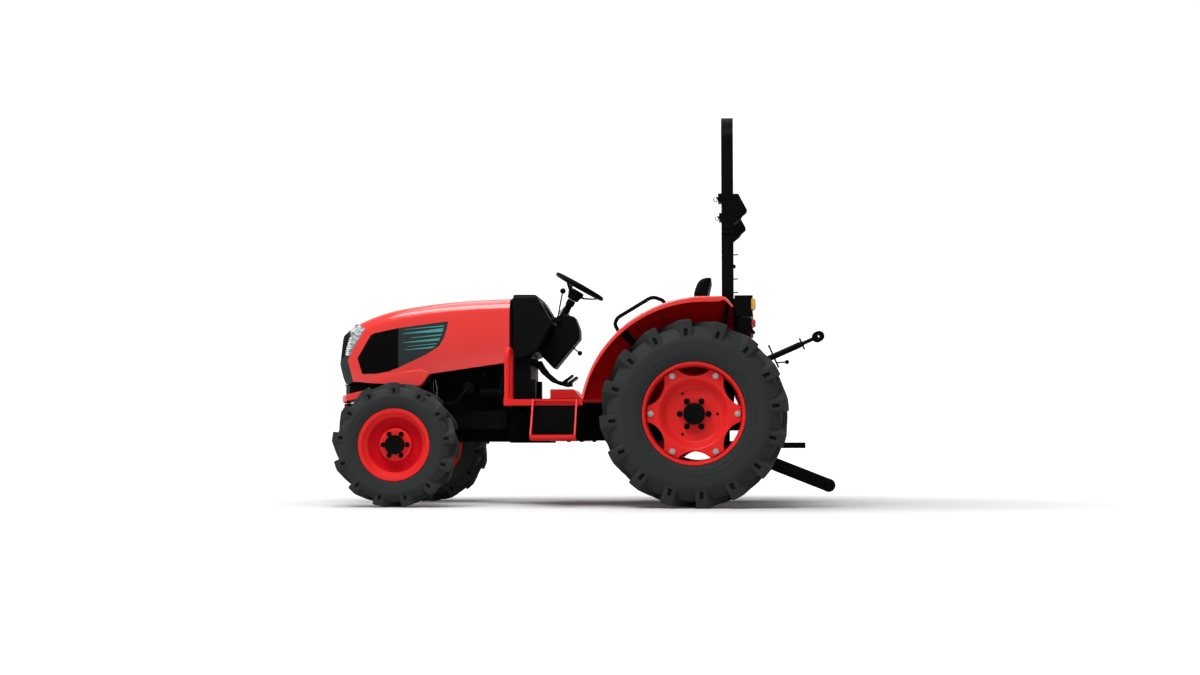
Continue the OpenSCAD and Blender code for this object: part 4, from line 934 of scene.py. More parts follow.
def fender_lip(share):
    """Depth of the fender's outer lip along its line: deeper towards the top, and less at the tail."""
    if share > 0.9:
        return LIP_TAIL + (LIP_HIGH - LIP_TAIL) * (1 - share) / 0.1
    return LIP_LOW + (LIP_HIGH - LIP_LOW) * eased(share / 0.9)


def make_fender(side_name, side):
    t = FENDER_T
    path = fender_path()
    rings = []
    inside = []
    for i, ((x, z), (nx, nz)) in enumerate(path):
        lip = fender_lip(i / (len(path) - 1))
        skin = [(505, -16), (506.5, -6), (512, -1.5), (522, 0), (600, 2), (700, 2), (772, 0), (787, -2),
                (796, -7), (800, -13), (800, -lip)]
        under = [(795.5, -lip), (795, -15), (791, -11), (784, -7), (772, -t), (700, 2 - t), (600, 2 - t),
                 (522, -t), (515, -7), (511.5, -11), (510.5, -16)]
        # A thin layer just inside the fender's underside, to carry the painted shade.
        layer = [(y - 1.5 * (y > 780) + 1.5 * (y < 520), n - 1.2) for y, n in under[1:]]
        layer += [(y, n - 1.5) for y, n in reversed(layer)]
        for row, section in ((rings, skin + under), (inside, layer)):
            row.append([(x + nx * n, side * y, z + nz * n) for y, n in section])
    sheet = Shape()
    sheet.loft(rings)
    # The lining, with its inner wall and ribs, is in the darker red: painted shade under the fender.
    shade_lining = Shape()
    shade_lining.loft(inside)
    wall = [(x - WALL_T * nx, z - WALL_T * nz) for (x, z), (nx, nz) in path]
    wall += [(FENDER_TAIL[0], 1180), (-150, 722)]
    for shape, start in ((sheet, FENDER_IN), (shade_lining, FENDER_IN + WALL_T)):
        shape.prism(wall, *sorted((side * start, side * (start + WALL_T))))
    sheet.make(f"fender_{side_name}_sheet", RED, "red_paint", f"fender_{side_name}", smooth=30)
    for turn in (34, 60, 74, 88):
        shade_lining.rod(on_fender(turn, -6, side * 512), on_fender(turn, -6, side * 788), 7, sides=12)
    shade_lining.make(f"fender_{side_name}_lining", RED_PAINTED_SHADE, "red_paint", smooth=40)
    straps = Shape()
    for low, high, start, depth, out in ((46.2, 49.8, 6, 150, 530), (54.3, 54.8, 30, 84, 512.5),
                                         (68, 68.5, 26, 86, 512.5)):
        corners = ((low, -start), (high, -start), (high, -depth), (low, -depth))
        straps.loft([[on_fender(turn, height, side * y) for turn, height in corners] for y in (510, out)])
    straps.prism([(-206, 1352), (-232, 1330), (-214, 1206), (-188, 1206)], side * 514, side * 560)
    straps.make(f"fender_{side_name}_straps", BLACK, "black_paint")


def make_rails():
    ends = (46.5, 71.6)
    shape = Shape()
    line = ((ends[0], 3), (47.7, 66), (50.3, 84), (67.6, 84), (71.2, 34), (ends[1], 3))
    shape.tube([on_fender(turn, height, RAIL_Y) for turn, height in line], 12.5, bend=70, sides=20)
    for turn in ends:
        foot = Vector(on_fender(turn, 2, RAIL_Y))
        top = Vector(on_fender(turn, 8, RAIL_Y))
        shape.rod(foot, top, 27, 25, sides=32)
        for along in (-19, 19):
            head = top + Vector((0, along, 0))
            shape.rod(head, head + (top - foot) * 0.9, 5, sides=6)
    shape.both_sides()
    shape.make("fender_grab_rails", BLACK, "black_paint", "fender_rails", smooth=40)


for name, sign in SIDES:
    make_fender(name, sign)
make_rails()


# Seat

Channel = namedtuple("Channel", "axis place depth width")
PAD_GRID = 40
PAD_VOXEL = 0.0065
PAD_SWELL = 0.012
PAD_FRAMES = 20
PAD_PRESSURE = 4
SEAT_HALF = 235
CUSHION_MID = 190
CUSHION_REACH = 222
CUSHION_HALF = SEAT_HALF - 8
CUSHION_LOW = 1050.3
BACK_LOW = 1145.3
BACK_TOP = 1573
BACK_H = BACK_TOP - BACK_LOW


def within(value, low, high):
    return max(low, min(high, value))


def crowned(u, v, corner=7, edge=0.3):
    """Fullness of a pad over its plan, from 1 in the middle to 0 at its edge."""
    return (max(0, 1 - abs(u) ** corner) ** edge) * (max(0, 1 - abs(v) ** corner) ** edge)


def stuffed(pad):
    """Remeshes a closed pad and blows it up as cloth, holding each point near where it was."""
    even = pad.modifiers.new("even", "REMESH")
    even.mode = "VOXEL"
    even.voxel_size = PAD_VOXEL
    mesh = evaluated_mesh(pad)
    pad.modifiers.clear()
    pad.data = mesh
    cloth = pad.modifiers.new("stuffing", "CLOTH")
    cloth.settings.use_pressure = True
    cloth.settings.uniform_pressure_force = PAD_PRESSURE
    cloth.settings.effector_weights.gravity = 0
    cloth.collision_settings.use_collision = False
    scene = bpy.context.scene
    for step in range(1, PAD_FRAMES + 1):
        scene.frame_set(step)
    blown = evaluated_mesh(pad)
    pad.modifiers.clear()
    scene.frame_set(1)
    for vertex, moved in zip(mesh.vertices, blown.vertices):
        shift = moved.co - vertex.co
        if shift.length > PAD_SWELL:
            shift *= PAD_SWELL / shift.length
        vertex.co += shift
    bpy.data.meshes.remove(blown)


def make_pad(name, to_point, to_plan, press, channels, node):
    """A stuffed pad, with its sewn channels pressed in after the stuffing.

    to_point takes (u, v, fullness), and to_plan gives (u, v, how far off its base) of a point.
    """
    shape = Shape()
    spread = [math.sin(math.pi / 2 * (2 * i / PAD_GRID - 1)) for i in range(PAD_GRID + 1)]
    top = [[shape.bm.verts.new(P(*to_point(u, v, crowned(u, v)))) for v in spread] for u in spread]
    for a, b in zip(top, top[1:]):
        for p, q, r, s in zip(a, a[1:], b[1:], b):
            shape.bm.faces.new((p, q, r, s))
    rim = top[0] + [row[-1] for row in top[1:]]
    rim += list(reversed(top[-1][:-1])) + [row[0] for row in reversed(top[1:-1])]
    shape.bm.faces.new(list(reversed(rim)))
    pad = shape.solid(name)
    stuffed(pad)
    mesh = pad.data
    inward = Vector(press) / 1000
    for vertex in mesh.vertices:
        u, v, off = to_plan((vertex.co.x - AXLE_X) * 1000, vertex.co.y * 1000, vertex.co.z * 1000)
        fade = crowned(within(u, -1, 1), within(v, -1, 1)) * eased(within((off - 25) / 30, 0, 1))
        depth = 0
        for channel in channels:
            away = ((u if channel.axis == 0 else v) - channel.place) / channel.width
            depth = max(depth, channel.depth * math.exp(-away * away))
        vertex.co += inward * depth * fade
        if off < 0:
            vertex.co += inward * off
    for face in mesh.polygons:
        face.use_smooth = True
    mesh.materials.clear()
    mesh.materials.append(VINYL)
    finer = pad.modifiers.new("smooth", "SUBSURF")
    finer.levels = 1
    finer.render_levels = 1
    declare(pad, "chassis", node)


def cushion_point(u, v, full):
    pull = 1 - 0.025 * (1 - u * u) * abs(v) - 0.01 * (1 - v * v) * abs(u)
    lift = 8 * eased(max(0, u)) - 6 * eased(max(0, -u))
    z = CUSHION_LOW + (80 + lift) * max(full, 0) + 4 * (1 - u * u) * full
    return (CUSHION_MID + CUSHION_REACH * u * pull, CUSHION_HALF * v * pull, z)


def cushion_plan(x, y, z):
    return (x - CUSHION_MID) / CUSHION_REACH, y / CUSHION_HALF, z - CUSHION_LOW


def back_line(z):
    """The seat back's flat rear face at a height."""
    return -20 - 97 * (z - BACK_LOW) / BACK_H


def back_point(u, v, full):
    rise = (v + 1) / 2
    narrow = 1 - 0.1 * rise * rise
    z = BACK_LOW + 8 + (BACK_H - 16) * rise
    x = back_line(z) + (96 - 12 * rise) * max(full, 0) + 8 * full * u * u
    return (x, (SEAT_HALF - 18) * u * narrow * (1 - 0.02 * (1 - v * v) * abs(u)), z)


def back_plan(x, y, z):
    return y / (SEAT_HALF - 28), 2 * (z - BACK_LOW) / BACK_H - 1, x - back_line(z)


CUSHION_SEAMS = (Channel(1, -0.56, 9, 0.03), Channel(1, 0.56, 9, 0.03), Channel(0, -0.35, 7, 0.028),
                 Channel(0, 0.25, 7, 0.028))
BACK_SEAMS = (Channel(0, -0.58, 9, 0.03), Channel(0, 0.58, 9, 0.03), Channel(1, 0.35, 7, 0.03),
              Channel(1, -0.3, 7, 0.03))


def make_seat_frame():
    """Pan, slides and bellows under the cushion, the plate behind the back, and the adjusters."""
    pan = Shape()
    pan.box((-34, -222, 1040), (410, 222, 1051))
    for y in (-180, 150):
        pan.box((-20, y, 966.3), (360, y + 30, 985))
    for i in range(7):
        low = 985 + 8 * i
        inset = 12 if i % 2 else 0
        pan.box((-8 + inset, -168 + inset, low), (348 - inset, 168 - inset, low + 8))
    pan.prism([(-36, 1040), (-20, 1040), (-112, 1420), (-124, 1420)], -190, 190)
    pan.make("seat_suspension", BLACK, "black_paint", "seat_base", bevel=3)
    trim = Shape()
    for side in (-1, 1):
        y = side * 214
        trim.rod((300, side * 180, 1000), (300, side * 205, 1000), 16, sides=20)
        trim.tube([(120, side * 190, 1046), (120, y, 1040), (170, y, 1030), (250, y, 1024)], 5, 10)
    trim.make("seat_adjusters", PLASTIC)


make_pad("seat_cushion_cover", cushion_point, cushion_plan, (0, 0, -1), CUSHION_SEAMS, "seat_cushion")
make_pad("seat_back_cover", back_point, back_plan, (-1, 0, 0), BACK_SEAMS, "seat_back")
make_seat_frame()


# Cowl, column and steering wheel

COWL_HALF = 285
COWL_OUTLINE = [(1256, 985), (1256, 1428), (1090, 1432), (988, 1262), (974, 1234), (1076, 1051), (1108, 1030),
                (1210, 990)]
COWL_TOP = [(1250, 1424), (1250, 1438), (1232, 1441), (1170, 1441), (1100, 1440), (1084, 1433), (1092, 1424)]
FIREWALL_HALF = 222
FLOOR_H = 712
DASH_LOW = Vector((988, 0, 1262))
DASH_RUN = (Vector((1090, 0, 1432)) - DASH_LOW).normalized()
DASH_FACE = Vector((-DASH_RUN.z, 0, DASH_RUN.x))
DASH_MID = 100
DIALS = ((-72, 50), (72, 50), (0, 34))


def on_dash(along, across, out):
    """A point of the cowl's slanted instrument face."""
    at = DASH_LOW + DASH_RUN * along + DASH_FACE * out
    return Vector((at.x, across, at.z))


def make_cowl():
    """Shell with its seams, the firewall under it and the cover over it."""
    shell = through(COWL_OUTLINE, -COWL_HALF, COWL_HALF)
    shell.make("cowl_shell", PLASTIC, "black_plastic", "cowl", bevel=20, smooth=30, segments=4)
    lower = Shape()
    lower.box((1130, -FIREWALL_HALF, FLOOR_H), (1254, FIREWALL_HALF, 1040))
    for side in (-1, 1):
        y = side * FIREWALL_HALF
        for i in range(5):
            x = 1146 + 22 * i
            lower.box((x, y - 3, 730), (x + 9, y + 3, 960))
        lower.box((1100, side * 190 - 30, FLOOR_H), (1132, side * 190 + 30, 860))
    lower.make("cowl_firewall", PLASTIC, "black_plastic", bevel=4)
    top = through(COWL_TOP, -262, 262)
    top.make("cowl_top_cover", BLACK, "black_plastic", bevel=6, smooth=40)
    seam = Shape()
    for side in (-1, 1):
        y = side * COWL_HALF
        line = ((1251, 5, 1392), (1120, 1, 1392), (1060, 1, 1356), (1000, 5, 1262))
        seam.tube([(x, y - side * inset, z) for x, inset, z in line], 3.5, 20, 10)
        for z in (1010, 1360):
            seam.rod((1225, y - side * 2, z), (1225, y + side * 3, z), 9, sides=20)
    seam.make("cowl_seams", BLACK, "black_plastic", smooth=40)


def make_dash():
    """Oval bezel, three dials with ticks and pointers, and a row of switches."""
    bezel = Shape()
    bezel.loft([[on_dash(DASH_MID + (72 - shrink) * s, (150 - shrink) * c, out) for c, s in around(48)]
                for out, shrink in ((-6, 0), (14, 8))])
    bezel.make("dash_bezel", PLASTIC, "black_plastic", bevel=3)
    glass = Shape()
    dials = Shape()
    for across, r in DIALS:
        centre = on_dash(DASH_MID, across, 14.2)
        glass.rod(centre, centre + DASH_FACE * 1.5, r, sides=40)
        for c, s in around(11, -40, 26):
            tick = [on_dash(DASH_MID + (r - d) * s, across + (r - d) * c, 16) for d in (12, 5)]
            dials.rod(*tick, 1.2, sides=6)
        dials.rod(centre + DASH_FACE * 2, on_dash(DASH_MID + 0.7 * r, across + 8, 16), 1.6, 0.6, sides=8)
    glass.make("dash_dial_faces", GREY, "grey_plastic")
    dials.make("dash_pointers", ZINC, "bright_steel")
    keys = Shape()
    for i in range(5):
        across = -120 + 60 * i
        keys.rod(on_dash(14, across, -2), on_dash(14, across, 12), 13, 11, sides=24)
    keys.make("dash_switches", PLASTIC, "black_plastic", bevel=1.5)


LEAN = math.radians(29.6)
WHEEL_MID = Vector((815, 0, 1518))
COLUMN_AXIS = Vector((-math.sin(LEAN), 0, math.cos(LEAN)))
WHEEL_SIDE = Vector((math.cos(LEAN), 0, math.sin(LEAN)))
COLUMN_HALF = 95
COLUMN_OUTLINE = [(974, 1234), (940, 1327), (841, 1299), (809, 1214), (806, 1150), (983, 934), (1082, 1036),
                  (1076, 1051)]
RIM_R = 175
GRIP_R = 14.5
# Stations of a spoke: radius, distance along the column, half width and half thickness
SPOKE = ((26, -66, 20, 9), (70, -58, 16, 7), (120, -34, 13, 6), (158, -10, 13, 6), (172, -1, 16, 8))
WHEEL_HUB = [(-108, 30), (-104, 40), (-80, 46), (-66, 54), (-40, 55), (-34, 50), (-32, 36), (-31, 0.1)]


def make_column():
    """Shroud, tube with its bellows, and trim."""
    shroud = through(COLUMN_OUTLINE, -COLUMN_HALF, COLUMN_HALF)
    shroud.make("column_shroud", PLASTIC, "black_plastic", "steering_column", bevel=12, smooth=30, segments=3)
    tube = Shape()
    bellows = [(236 - 12 * i, 229 - 12 * i, 44 - 3 * i, 41 - 3 * i) for i in range(5)]
    for low, high, r, r_end in [(255, 110, 24, 24)] + bellows + [(150, 112, 31, 29)]:
        tube.rod(WHEEL_MID - COLUMN_AXIS * low, WHEEL_MID - COLUMN_AXIS * high, r, r_end, sides=32)
    tube.make("column_tube", BLACK, "black_plastic", bevel=1)
    ribs = Shape()
    for side in (-1, 1):
        y = side * COLUMN_HALF
        for i in range(4):
            x = 850 + 26 * i
            z = 1180 - 28 * i
            ribs.box((x, y - 2, z), (x + 46, y + 2, z + 8))
        ribs.rod((900, side * 93, 1230), (900, side * 99, 1230), 26, sides=32)
        ribs.rod((900, side * 98, 1230), (900, side * 103, 1230), 10, sides=6)
    ribs.make("column_trim", PLASTIC, "black_plastic", bevel=1)


def make_hand_wheel():
    shape = Shape()
    section = [(GRIP_R * s, RIM_R + GRIP_R * c) for c, s in around(20)]
    shape.turned(WHEEL_MID, COLUMN_AXIS, section, 96, True)
    for c, s in around(3, 60):
        outward = WHEEL_SIDE * c + Vector((0, s, 0))
        across = Vector((0, c, 0)) - WHEEL_SIDE * s
        rings = []
        for radius, out, wide, thick in SPOKE:
            middle = WHEEL_MID + COLUMN_AXIS * out + outward * radius
            rings.append([middle + across * wide * i + COLUMN_AXIS * thick * j for i, j in around(12)])
        shape.loft(rings)
    shape.turned(WHEEL_MID, COLUMN_AXIS, WHEEL_HUB, 48)
    shape.make("steering_wheel_rim", PLASTIC, "black_plastic", "steering_wheel", "hand_wheel", smooth=40)


CONSOLE_Y = 400
CONSOLE_H = 1005
# Levers of each console: side, place and height
CONSOLE_LEVERS = ((-1, 120, 150), (-1, 210, 170), (-1, 300, 130), (1, 210, 130))
LEVER_KNOB = [(-22, 7), (-14, 13), (0, 16), (14, 14), (22, 7), (23, 0.1)]
LEVER_BOOT = [(0, 26), (6, 22), (10, 23), (15, 17), (19, 18), (24, 10), (26, 6)]


def make_levers():
    """Shuttle and parking levers with their knobs, and the quadrant levers by the seat."""
    levers = Shape()
    levers.box((935, 95.3, 1260), (985, 119, 1295))
    levers.tube([(957, 107, 1285), (945, 109, 1360), (930, 111, 1440), (922, 111, 1470)], 5, 30, 14)
    levers.ball((922, 111, 1478), 20)
    levers.rod((957, 107, 1280), (954, 107.5, 1304), 13, 8, sides=20)
    levers.rod((857, 40, 1087), (820, 40, 1057), 5, sides=14)
    levers.ball((809, 40, 1048), 17)
    levers.make("column_levers", PLASTIC, "black_plastic", "controls", smooth=40)
    gates = Shape()
    for y in (-CONSOLE_Y, CONSOLE_Y):
        for x in (120, 210, 300):
            for edge in (-26, 26):
                gates.box((x - 34, y + edge - 4, 1009), (x + 34, y + edge + 4, 1014))
    gates.make("console_gates", PLASTIC, "black_plastic", bevel=1.5)
    sticks = Shape()
    for side, x, height in CONSOLE_LEVERS:
        y = side * CONSOLE_Y
        knob = (x + 22, y + side * 6, CONSOLE_H + height)
        sticks.tube([(x, y, CONSOLE_H), (x + 20, y, CONSOLE_H + 0.6 * height), knob], 5.5, 30, 12)
        sticks.turned(knob, (0.1, 0, 1), LEVER_KNOB, 24)
        sticks.turned((x, y, 1012), (0, 0, 1), LEVER_BOOT, 28)
    sticks.make("console_levers", PLASTIC, "black_plastic", smooth=40)


PEDALS = ((170, 36), (-118, 28), (-181, 28))
PEDAL_ARM = [(1110, 1000), (1088, 958), (1050, 907), (982, 850), (904, 829)]
PEDAL_PAD = [(914, 842), (850, 888), (843, 879), (902, 832)]
THROTTLE_Y = -330


def make_pedals():
    """Clutch pedal on the left and two brake pedals on the right, with ribbed pads, and a foot throttle."""
    pedals = Shape()
    pads = Shape()
    for y, half in PEDALS:
        pedals.box((1098, y - 14, 950), (1129.7, y + 14, 1002))
        pedals.rod((1108, y - 21, 984), (1108, y + 21, 984), 13, sides=24)
        pedals.tube([(x, y, z) for x, z in PEDAL_ARM], 13, 40, 16)
        pedals.prism(PEDAL_PAD, y - half, y + half)
        pedals.prism([(x - 4, z + 6) for x, z in PEDAL_PAD], y - half + 6, y + half - 6)
        pedals.box((880, y - 13, 822), (916, y + 13, 848))
        for i in range(6):
            x = 854 + 10.2 * i
            z = 887 - 7.3 * i
            pads.box((x, y - half + 2, z - 5), (x + 4.5, y + half - 2, z + 2.5))
    pedals.tube([(1128, THROTTLE_Y, 726), (1040, THROTTLE_Y, 738), (1000, THROTTLE_Y, 762)], 8, 20, 12)
    pedals.prism([(1040, 742), (1046, 752), (946, 800), (940, 790)], -366, -300)
    pedals.make("foot_pedals", BLACK, "black_paint", bevel=1.5)
    pads.make("foot_pedal_treads", MATTING, "black_plastic", bevel=0.8)


make_cowl()
make_dash()
make_column()
make_hand_wheel()
make_levers()
make_pedals()


# Platform and steps

GUARD_X = 1247
GUARD_OUT = 577
GUARD_IN = 400
GUARD_TOP = 1046
STEP_REAR = 773
STEP_FRONT = 1073
STEP_OUT = 770
STEP_TEETH = 15
STEP_LOW = 445


def make_platform():
    """Floor mats and guard hoops."""
    mats = Shape()
    mats.box((752, 206, FLOOR_H), (1126, 584, FLOOR_H + 3))
    mats.box((480, 206, FLOOR_H), (752, 498, FLOOR_H + 3))
    for i in range(15):
        x = 770 + 24 * i
        mats.box((x, 220, FLOOR_H + 2), (x + 12, 570, FLOOR_H + 6))
    mats.both_sides()
    mats.make("floor_mats", MATTING, "black_plastic", bevel=1)
    hoops = Shape()
    line = ((GUARD_OUT, FLOOR_H - 2), (GUARD_OUT, GUARD_TOP), (GUARD_IN, GUARD_TOP), (GUARD_IN, FLOOR_H - 2))
    hoops.tube([(GUARD_X, y, z) for y, z in line], 19.3, 50, 24)
    for y in (GUARD_OUT, GUARD_IN):
        hoops.rod((GUARD_X, y, FLOOR_H), (GUARD_X, y, FLOOR_H + 7), 26, 22, sides=28)
    hoops.both_sides()
    hoops.make("guard_hoop_tubes", RED_IN, "red_paint", smooth=45)


def make_steps():
    """Saw-toothed tread edge and slotted tread of each hanging step."""
    pitch = (STEP_FRONT - STEP_REAR) / STEP_TEETH
    edge = [(STEP_REAR, STEP_LOW)]
    for i in range(STEP_TEETH):
        for share, drop in ((0.15, 0), (0.4, 8), (0.6, 8), (0.85, 0)):
            edge.append((STEP_REAR + (i + share) * pitch, STEP_LOW - drop))
    edge += [(STEP_FRONT, STEP_LOW), (STEP_FRONT, STEP_LOW + 6), (STEP_REAR, STEP_LOW + 6)]
    shape = Shape()
    for inset in (0, 84):
        shape.prism(edge, STEP_OUT - inset - 6, STEP_OUT - inset)
    for i in range(7):
        x = STEP_REAR + 22 + 38 * i
        shape.box((x, STEP_OUT - 84, STEP_LOW + 5), (x + 6, STEP_OUT - 6, STEP_LOW + 11))
    shape.both_sides()
    shape.make("step_treads", RED_IN, "red_paint", bevel=0.8)
    bolts = Shape()
    for x, way in ((778, -1), (1068, 1)):
        for z in (700, 655):
            bolts.bolt((x, 612, z), (way, 0, 0), 6, 6)
    bolts.both_sides()
    bolts.make("step_bolts", BLACK)


make_platform()
make_steps()


# Roll bar and tail lamps

ROPS_FRONT = -181
ROPS_REAR = -261
ROPS_OUT = 490
ROPS_IN = 440
ROPS_MID = (ROPS_OUT + ROPS_IN) / 2
FOLD_H = 1940
FOLD_X = ROPS_REAR - 34
# Shallow ring on the roll bar's ear, as (distance out, radius)
EAR_RING = [(0, 12), (2.6, 12), (2.6, 8), (1, 7.5), (0.6, 0.1)]
PIN_CLIP = ((-16, 3), (14, 3), (20, -2), (14, -7), (-10, -7))


def soften(width, segments, *nodes):
    """Rounds the edges of CAD nodes that are shown as they are."""
    for node in nodes:
        round_edges(NODES[node], width, segments)


def add_pin(shape, x, z, y_in, y_out, r):
    """A pin across a bracket, with a head on its inner end and a spring clip through its outer end."""
    out = math.copysign(1, y_out)
    y0, y1 = sorted((y_in, y_out))
    shape.rod((x, y0, z), (x, y1, z), r, sides=20)
    shape.rod((x, y_in - out * 9, z), (x, y_in, z), 1.7 * r, sides=20)
    shape.tube([(x + dx, y_out - out * 6, z + dz) for dx, dz in PIN_CLIP], 2.6, 4, 8)


def make_roll_bar():
    """Bolts, clips, pins and rings of the posts and the folding hoop."""
    posts = Shape()
    for side in (-1, 1):
        for x in (-206, -236):
            posts.bolt((x, side * (ROPS_OUT + 17), 1858), (0, side, 0), 10, 9)
            posts.bolt((x, side * (ROPS_IN - 17), 1858), (0, -side, 0), 10, 9)
        for y in (side * 424, side * 472):
            for x in (-150, -60, 40):
                posts.bolt((x, y, 720), (0, 0, 1), 13, 12)
    for z in (1791, 1678, 1515, 1425):
        posts.tube([(ROPS_REAR + x, 470, z + rise) for x, rise in ((2, 0), (-14, 0), (-30, 2))], 4.4, 6, 10)
    posts.box((ROPS_REAR - 14, 452, 1588), (ROPS_REAR + 2, 478, 1612))
    posts.make("roll_bar_post_fittings", BLACK, "black_paint", bevel=1)
    hoop = Shape()
    for side in (-1, 1):
        outer = side * (ROPS_OUT + 8)
        for x, z in ((-206, 2058), (-238, 2058), (-206, 1976), (-238, 1976)):
            hoop.bolt((x, outer, z), (0, side, 0), 9, 8)
        for x, z in ((-289, 2062), (-338, 1976)):
            hoop.turned((x, outer - side * 2, z), (0, side, 0), EAR_RING, 24)
        add_pin(hoop, FOLD_X, FOLD_H, side * (ROPS_IN - 29), side * (ROPS_OUT + 29), 9)
        y = side * ROPS_MID
        hoop.box((ROPS_FRONT - 4, y - 38, 2026), (ROPS_FRONT + 22, y + 38, 2088))
        hoop.rod((ROPS_FRONT, y, 2062), (ROPS_FRONT + 34, y, 2062), 8, sides=16)
        ring = [(ROPS_FRONT + 38 + 13 * c, y, 2054 + 16 * s) for c, s in around(15, 100, 23)]
        hoop.tube(ring, 2.8, sides=8)
    hoop.make("roll_bar_hoop_fittings", BLACK, "black_paint", None, "roll_bar", bevel=1)
    soften(5, 3, "rops_posts", "rops_hoop")


TAIL_OUT = 620
TAIL_FACE = -401
# Lenses of a tail lamp: name, material, CAD node, inner face, lower and upper edge, and the ribs' margin
TAIL_LENSES = (("tail_lamp_amber", AMBER, "tail_lenses", -375, 1298, 1370, 6),
               ("tail_lamp_red", RED_LENS, None, -377, 1185, 1232, 4))


def make_tail_lamps():
    for name, material, node, back, low, high, margin in TAIL_LENSES:
        lens = Shape()
        for side in (-1, 1):
            y0, y1 = sorted((side * 510, side * (TAIL_OUT + 2)))
            lens.box((TAIL_FACE, y0, low), (back, y1, high))
            for i in range(5):
                y = y0 + 10 + 19 * i
                lens.box((TAIL_FACE - 3, y, low + margin), (TAIL_FACE + 1, y + 9, high - margin))
        lens.make(name, material, "amber_lens", node, bevel=2)
    soften(5, 3, "tail_lamps")
    trim = Shape()
    for side in (-1, 1):
        y = side * TAIL_OUT
        trim.box((-380, y - 2, 1262), (-270, y + 2, 1290))
        for x in (-370, -280):
            trim.bolt((x, y, 1275), (0, side, 0), 5, 5)
        trim.tube([(x, side * 560, z) for x, z in ((-280, 1250), (-300, 1246), (-310, 1238))], 6, 8, 10)
        trim.prism([(-286, 1168), (-286, 1160), (-396, 1142), (-402, 1148), (-388, 1166)],
                   *sorted((side * 504, side * 618)))
    trim.make("tail_lamp_trim", BLACK, "black_plastic")


make_roll_bar()
make_tail_lamps()


# Rear linkage

TOP_PIVOT = Vector((-330, 0, 932))
TOP_SLOPE = math.radians(23.8)
TOP_ALONG = Vector((-math.cos(TOP_SLOPE), 0, math.sin(TOP_SLOPE)))
TOP_UP = Vector((math.sin(TOP_SLOPE), 0, math.cos(TOP_SLOPE)))
LINK_SLOPE = math.radians(21.5)
LINK_ALONG = Vector((-math.cos(LINK_SLOPE), 0, -math.sin(LINK_SLOPE)))
LINK_UP = Vector((LINK_ALONG.z, 0, -LINK_ALONG.x))
LOWER_PIVOT = Vector((-50, 0, 470))
LINK_LEN = 898
LINK_HALF = 43.5
LINK_FACES = (329.6, 350.4)
LIFT_LEN = 360
LIFT_PIN = Vector((-130, 0, 880)) + LINK_ALONG * LIFT_LEN
ROD_PIN = LOWER_PIVOT + LINK_ALONG * LIFT_LEN
ROD_RUN = (ROD_PIN - LIFT_PIN).normalized()
ROD_Y = 312.5
EYE_RING = [(-17, 15), (-17, 35), (-13, 38), (13, 38), (17, 35), (17, 15)]
PTO_H = 570


def thread(shape, start, end, r, pitch=6):
    """A threaded stretch of rod, as a row of ridges."""
    run = end - start
    count = max(2, int(run.length / pitch))
    profile = []
    for i in range(count):
        d = run.length * i / count
        profile += [(d, r - 1.5), (d + 0.5 * pitch, r)]
    profile.append((run.length, r - 1.5))
    shape.turned(start, run, profile, 20)


def on_top_link(along, up=0):
    """A point by its distance along the top link and above it."""
    return TOP_PIVOT + TOP_ALONG * along + TOP_UP * up


def make_top_link():
    top = Shape()
    thread(top, on_top_link(36), on_top_link(120), 14.5)
    thread(top, on_top_link(385), on_top_link(510), 12)
    top.rod(on_top_link(96), on_top_link(384), 19.5, sides=28)
    for d in (96, 368):
        top.rod(on_top_link(d), on_top_link(d + 18), 21, sides=6)
    for d, reach, collar in ((224, 86, 21), (438, 43, 18)):
        top.rod(on_top_link(d, -reach), on_top_link(d, reach), 6.2, sides=14)
        top.rod(on_top_link(d - 9), on_top_link(d + 9), collar, sides=24)
    top.tube([on_top_link(224, -48), on_top_link(252, -58), on_top_link(286, -71)], 5, 16, 12)
    top.ball(on_top_link(292, -73), 15, 12)
    top.turned(on_top_link(554), (0, 1, 0), EYE_RING, 48, True)
    top.make("top_link_screws", BLACK, "black_paint", None, "top_link", smooth=40)


def on_lower_link(along, up, y):
    return LOWER_PIVOT + LINK_ALONG * along + LINK_UP * up + Vector((0, y, 0))


def make_lower_link(side_name, side):
    body = f"lower_link_{side_name}"
    link = Shape()
    ball = [(23.5 * s, 26 + 7 * c) for c, s in around(11, -70, 14)]
    link.turned(on_lower_link(LINK_LEN, 0, side * 339.5), (0, 1, 0), ball + [(22, 13), (-22, 13)], 40, True)
    bar = [(250, 34), (320, LINK_HALF), (LINK_LEN, LINK_HALF)]
    bar += [(LINK_LEN + (LINK_HALF + 1) * s, LINK_HALF * c) for c, s in around(11, 15, 15)]
    bar += [(LINK_LEN, -LINK_HALF), (320, -LINK_HALF), (250, -34)]
    link.loft([[on_lower_link(d, h, side * y) for d, h in bar] for y in LINK_FACES])
    link.make(f"{body}_bar", BLACK, "black_paint", None, body, bevel=3, smooth=40)
    fittings = Shape()
    for d, r in ((LIFT_LEN, 13), (572, 7)):
        fittings.bolt(on_lower_link(d, 0, side * 350), (0, side, 0), r, r)
    fittings.rod(on_lower_link(0, 0, side * 352), on_lower_link(0, 0, side * 358), 26, sides=24)
    fittings.make(f"{body}_bolts", BLACK, body=body, bevel=0.8)
    rod = Shape()
    top = LIFT_PIN + Vector((0, side * ROD_Y, 0))
    for start, end, r, sides in ((120, 300, 20, 24), (108, 122, 25, 6), (298, 312, 25, 6)):
        rod.rod(top + ROD_RUN * start, top + ROD_RUN * end, r, sides=sides)
    rod.make(f"lift_rod_{side_name}_barrel", BLACK, "black_paint", None, f"lift_rod_{side_name}", smooth=40)
    soften(3, 2, body, f"lift_rod_{side_name}")


